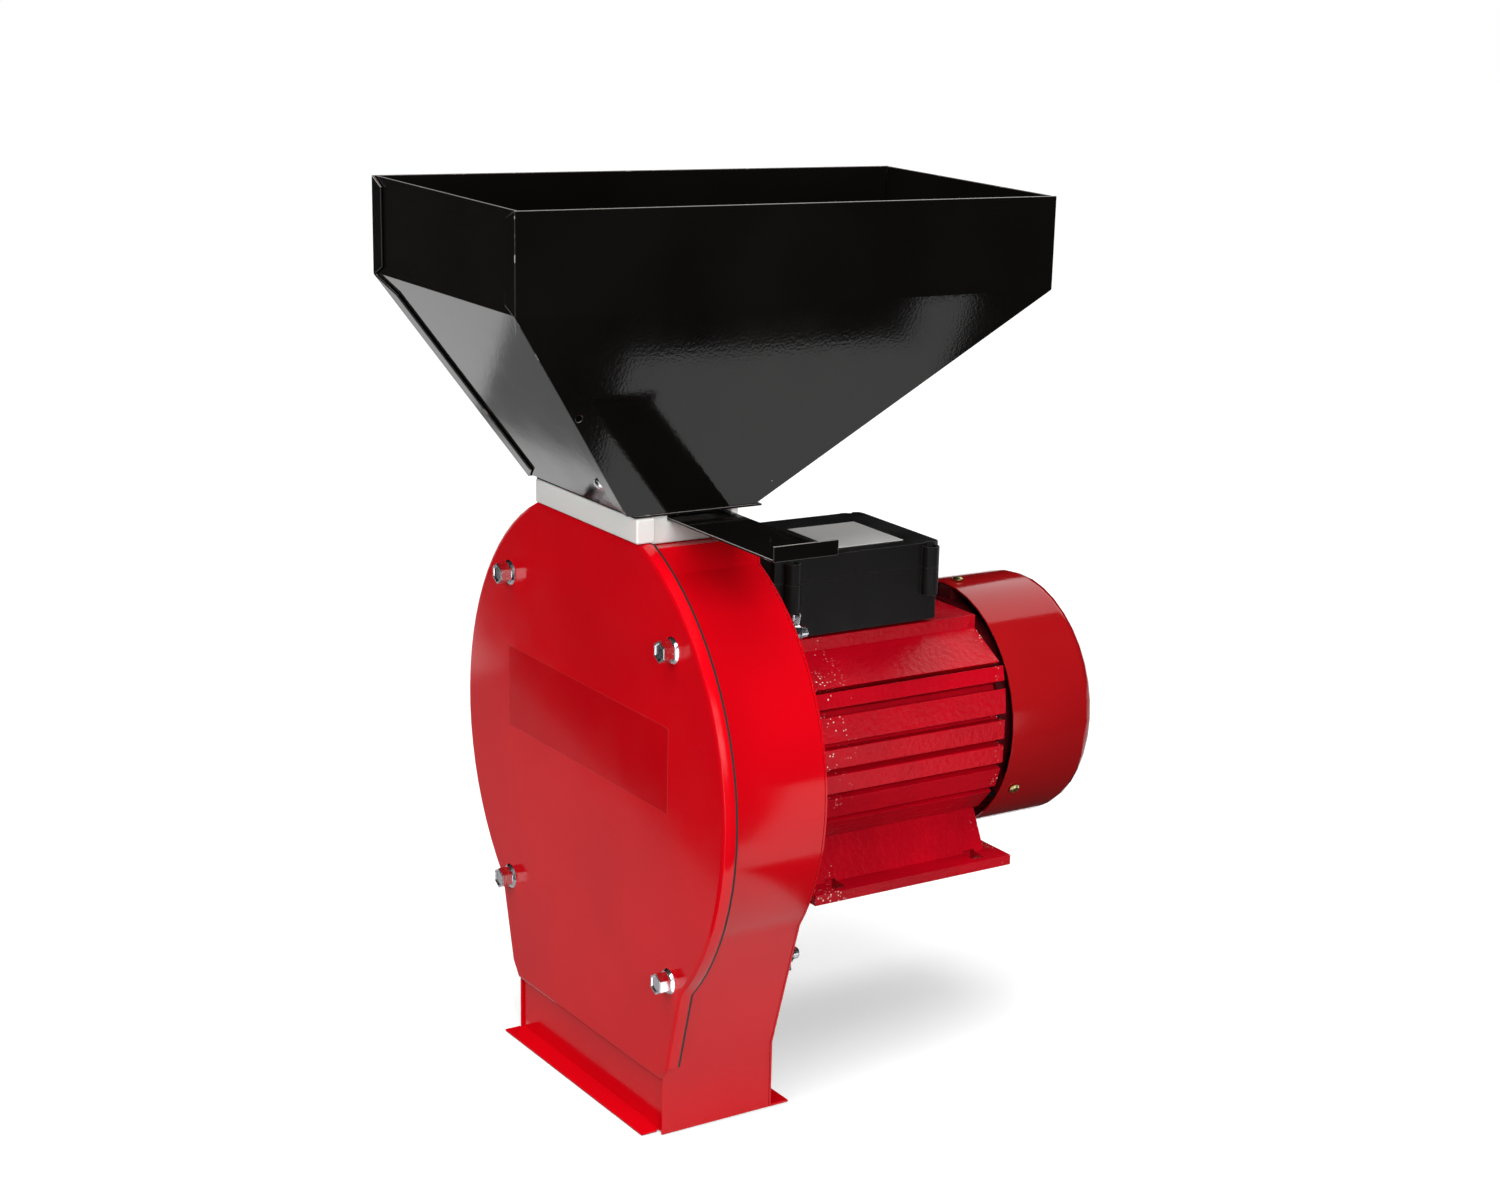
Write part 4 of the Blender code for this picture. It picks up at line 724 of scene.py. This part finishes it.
# Painted shade: the end shields are red paint made near-black, for the shade in the gaps at both ends of
# the housing.
shield_red_in_painted_shade = plain_finish("shield_red_in_painted_shade", (0.06, 0.001, 0.003), 0.5, Specular_IOR_Level=0.2)
set_on(shield_red_in_painted_shade, "Normal", relief(shield_red_in_painted_shade, mottle(shield_red_in_painted_shade, scale=300, detail=4), 0.0003))
inner_finishes = {
    "front_end_shield": shield_red_in_painted_shade,
    "rear_end_shield": shield_red_in_painted_shade,
    "rotor_core": cast_aluminium,
    "stator_core": plain_steel,
    "front_bearing": plain_steel,
    "rear_bearing": plain_steel,
    "stator_winding": copper_winding,
    "start_capacitor": capacitor_can,
    "run_capacitor": capacitor_can,
}
for node, finish in inner_finishes.items():
    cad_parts[node].data.materials[0] = finish
for i in range(1, 4):
    screw = copy_of(f"fan_cover_screw_{i}", f"fan_cover_screw_{i}_zinc")
    soften(screw, 0.0003)
    fit(screw, "mill", "yellow_zinc", yellow_zinc, f"fan_cover_screw_{i}")

# Terminal box: satin black moulded base, lid and cable gland, their rounded edges a little paler as a
# painted highlight, with four lid screws.  A bare silver plate lies on the lid.

box_plastic = plain_finish("box_plastic", (0.0045, 0.004, 0.004), 0.34, Specular_IOR_Level=0.16)
uneven(box_plastic, mottle(box_plastic, scale=40, detail=5), 0.3, 0.5)
set_on(box_plastic, "Normal", relief(box_plastic, mottle(box_plastic, scale=1500), 0.00003))
# Painted highlight: a paler finish for the rounded edges of the mouldings.
box_edge_highlight = plain_finish("box_edge_highlight", (0.016, 0.015, 0.015), 0.28)
for node in ("box_base", "box_lid", "cable_gland"):
    moulding = copy_of(node, node + "_moulding")
    soften(moulding, 0.0007, segments=3, edge_wear_and_highlight=(box_plastic, box_edge_highlight))
    fit(moulding, "mill", "box_plastic", box_plastic, node)
for i in range(1, 5):
    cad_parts[f"lid_screw_{i}"].data.materials[0] = bright_zinc

lid_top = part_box("box_lid")[1][2]
plate_thick = 0.0003
bpy.ops.mesh.primitive_cube_add(size=1)
nameplate = bpy.context.object
nameplate.name = "blank_nameplate"
nameplate.scale = (0.062, 0.056, plate_thick)
nameplate.location = (0.007, -0.013, lid_top + plate_thick / 2 + 0.00001)
apply_place(nameplate)
soften(nameplate, 0.0001)
silver_label = plain_finish("silver_label", (0.86, 0.85, 0.82), 0.35)
uneven(silver_label, mottle(silver_label, scale=90, detail=4), 0.28, 0.45)
fit(nameplate, "mill", None, silver_label)

# Cooling fan: black plastic blades, as in the CAD, with a thin back disc that turns with them between
# the rear shield and the blades.

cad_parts["cooling_fan"].data.materials[0] = box_plastic
fan_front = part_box("cooling_fan")[0][1]
disc_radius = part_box("fan_cover")[1][0] - 0.015
disc_bore = 0.012
disc_thick = 0.001
disc_gap = 0.0004
bpy.ops.mesh.primitive_cylinder_add(
    vertices=96,
    radius=disc_radius,
    depth=disc_thick,
    end_fill_type="NOTHING",
    location=(0, fan_front - disc_gap - disc_thick / 2, shaft_line.z),
    rotation=(math.radians(90), 0, 0),
)
fan_disc = bpy.context.object
fan_disc.name = "fan_back_disc"
apply_place(fan_disc)
solid = fan_disc.modifiers.new("solid", "SOLIDIFY")
solid.thickness = disc_radius - disc_bore
solid.offset = -1
fit(fan_disc, "rotor", None, box_plastic)
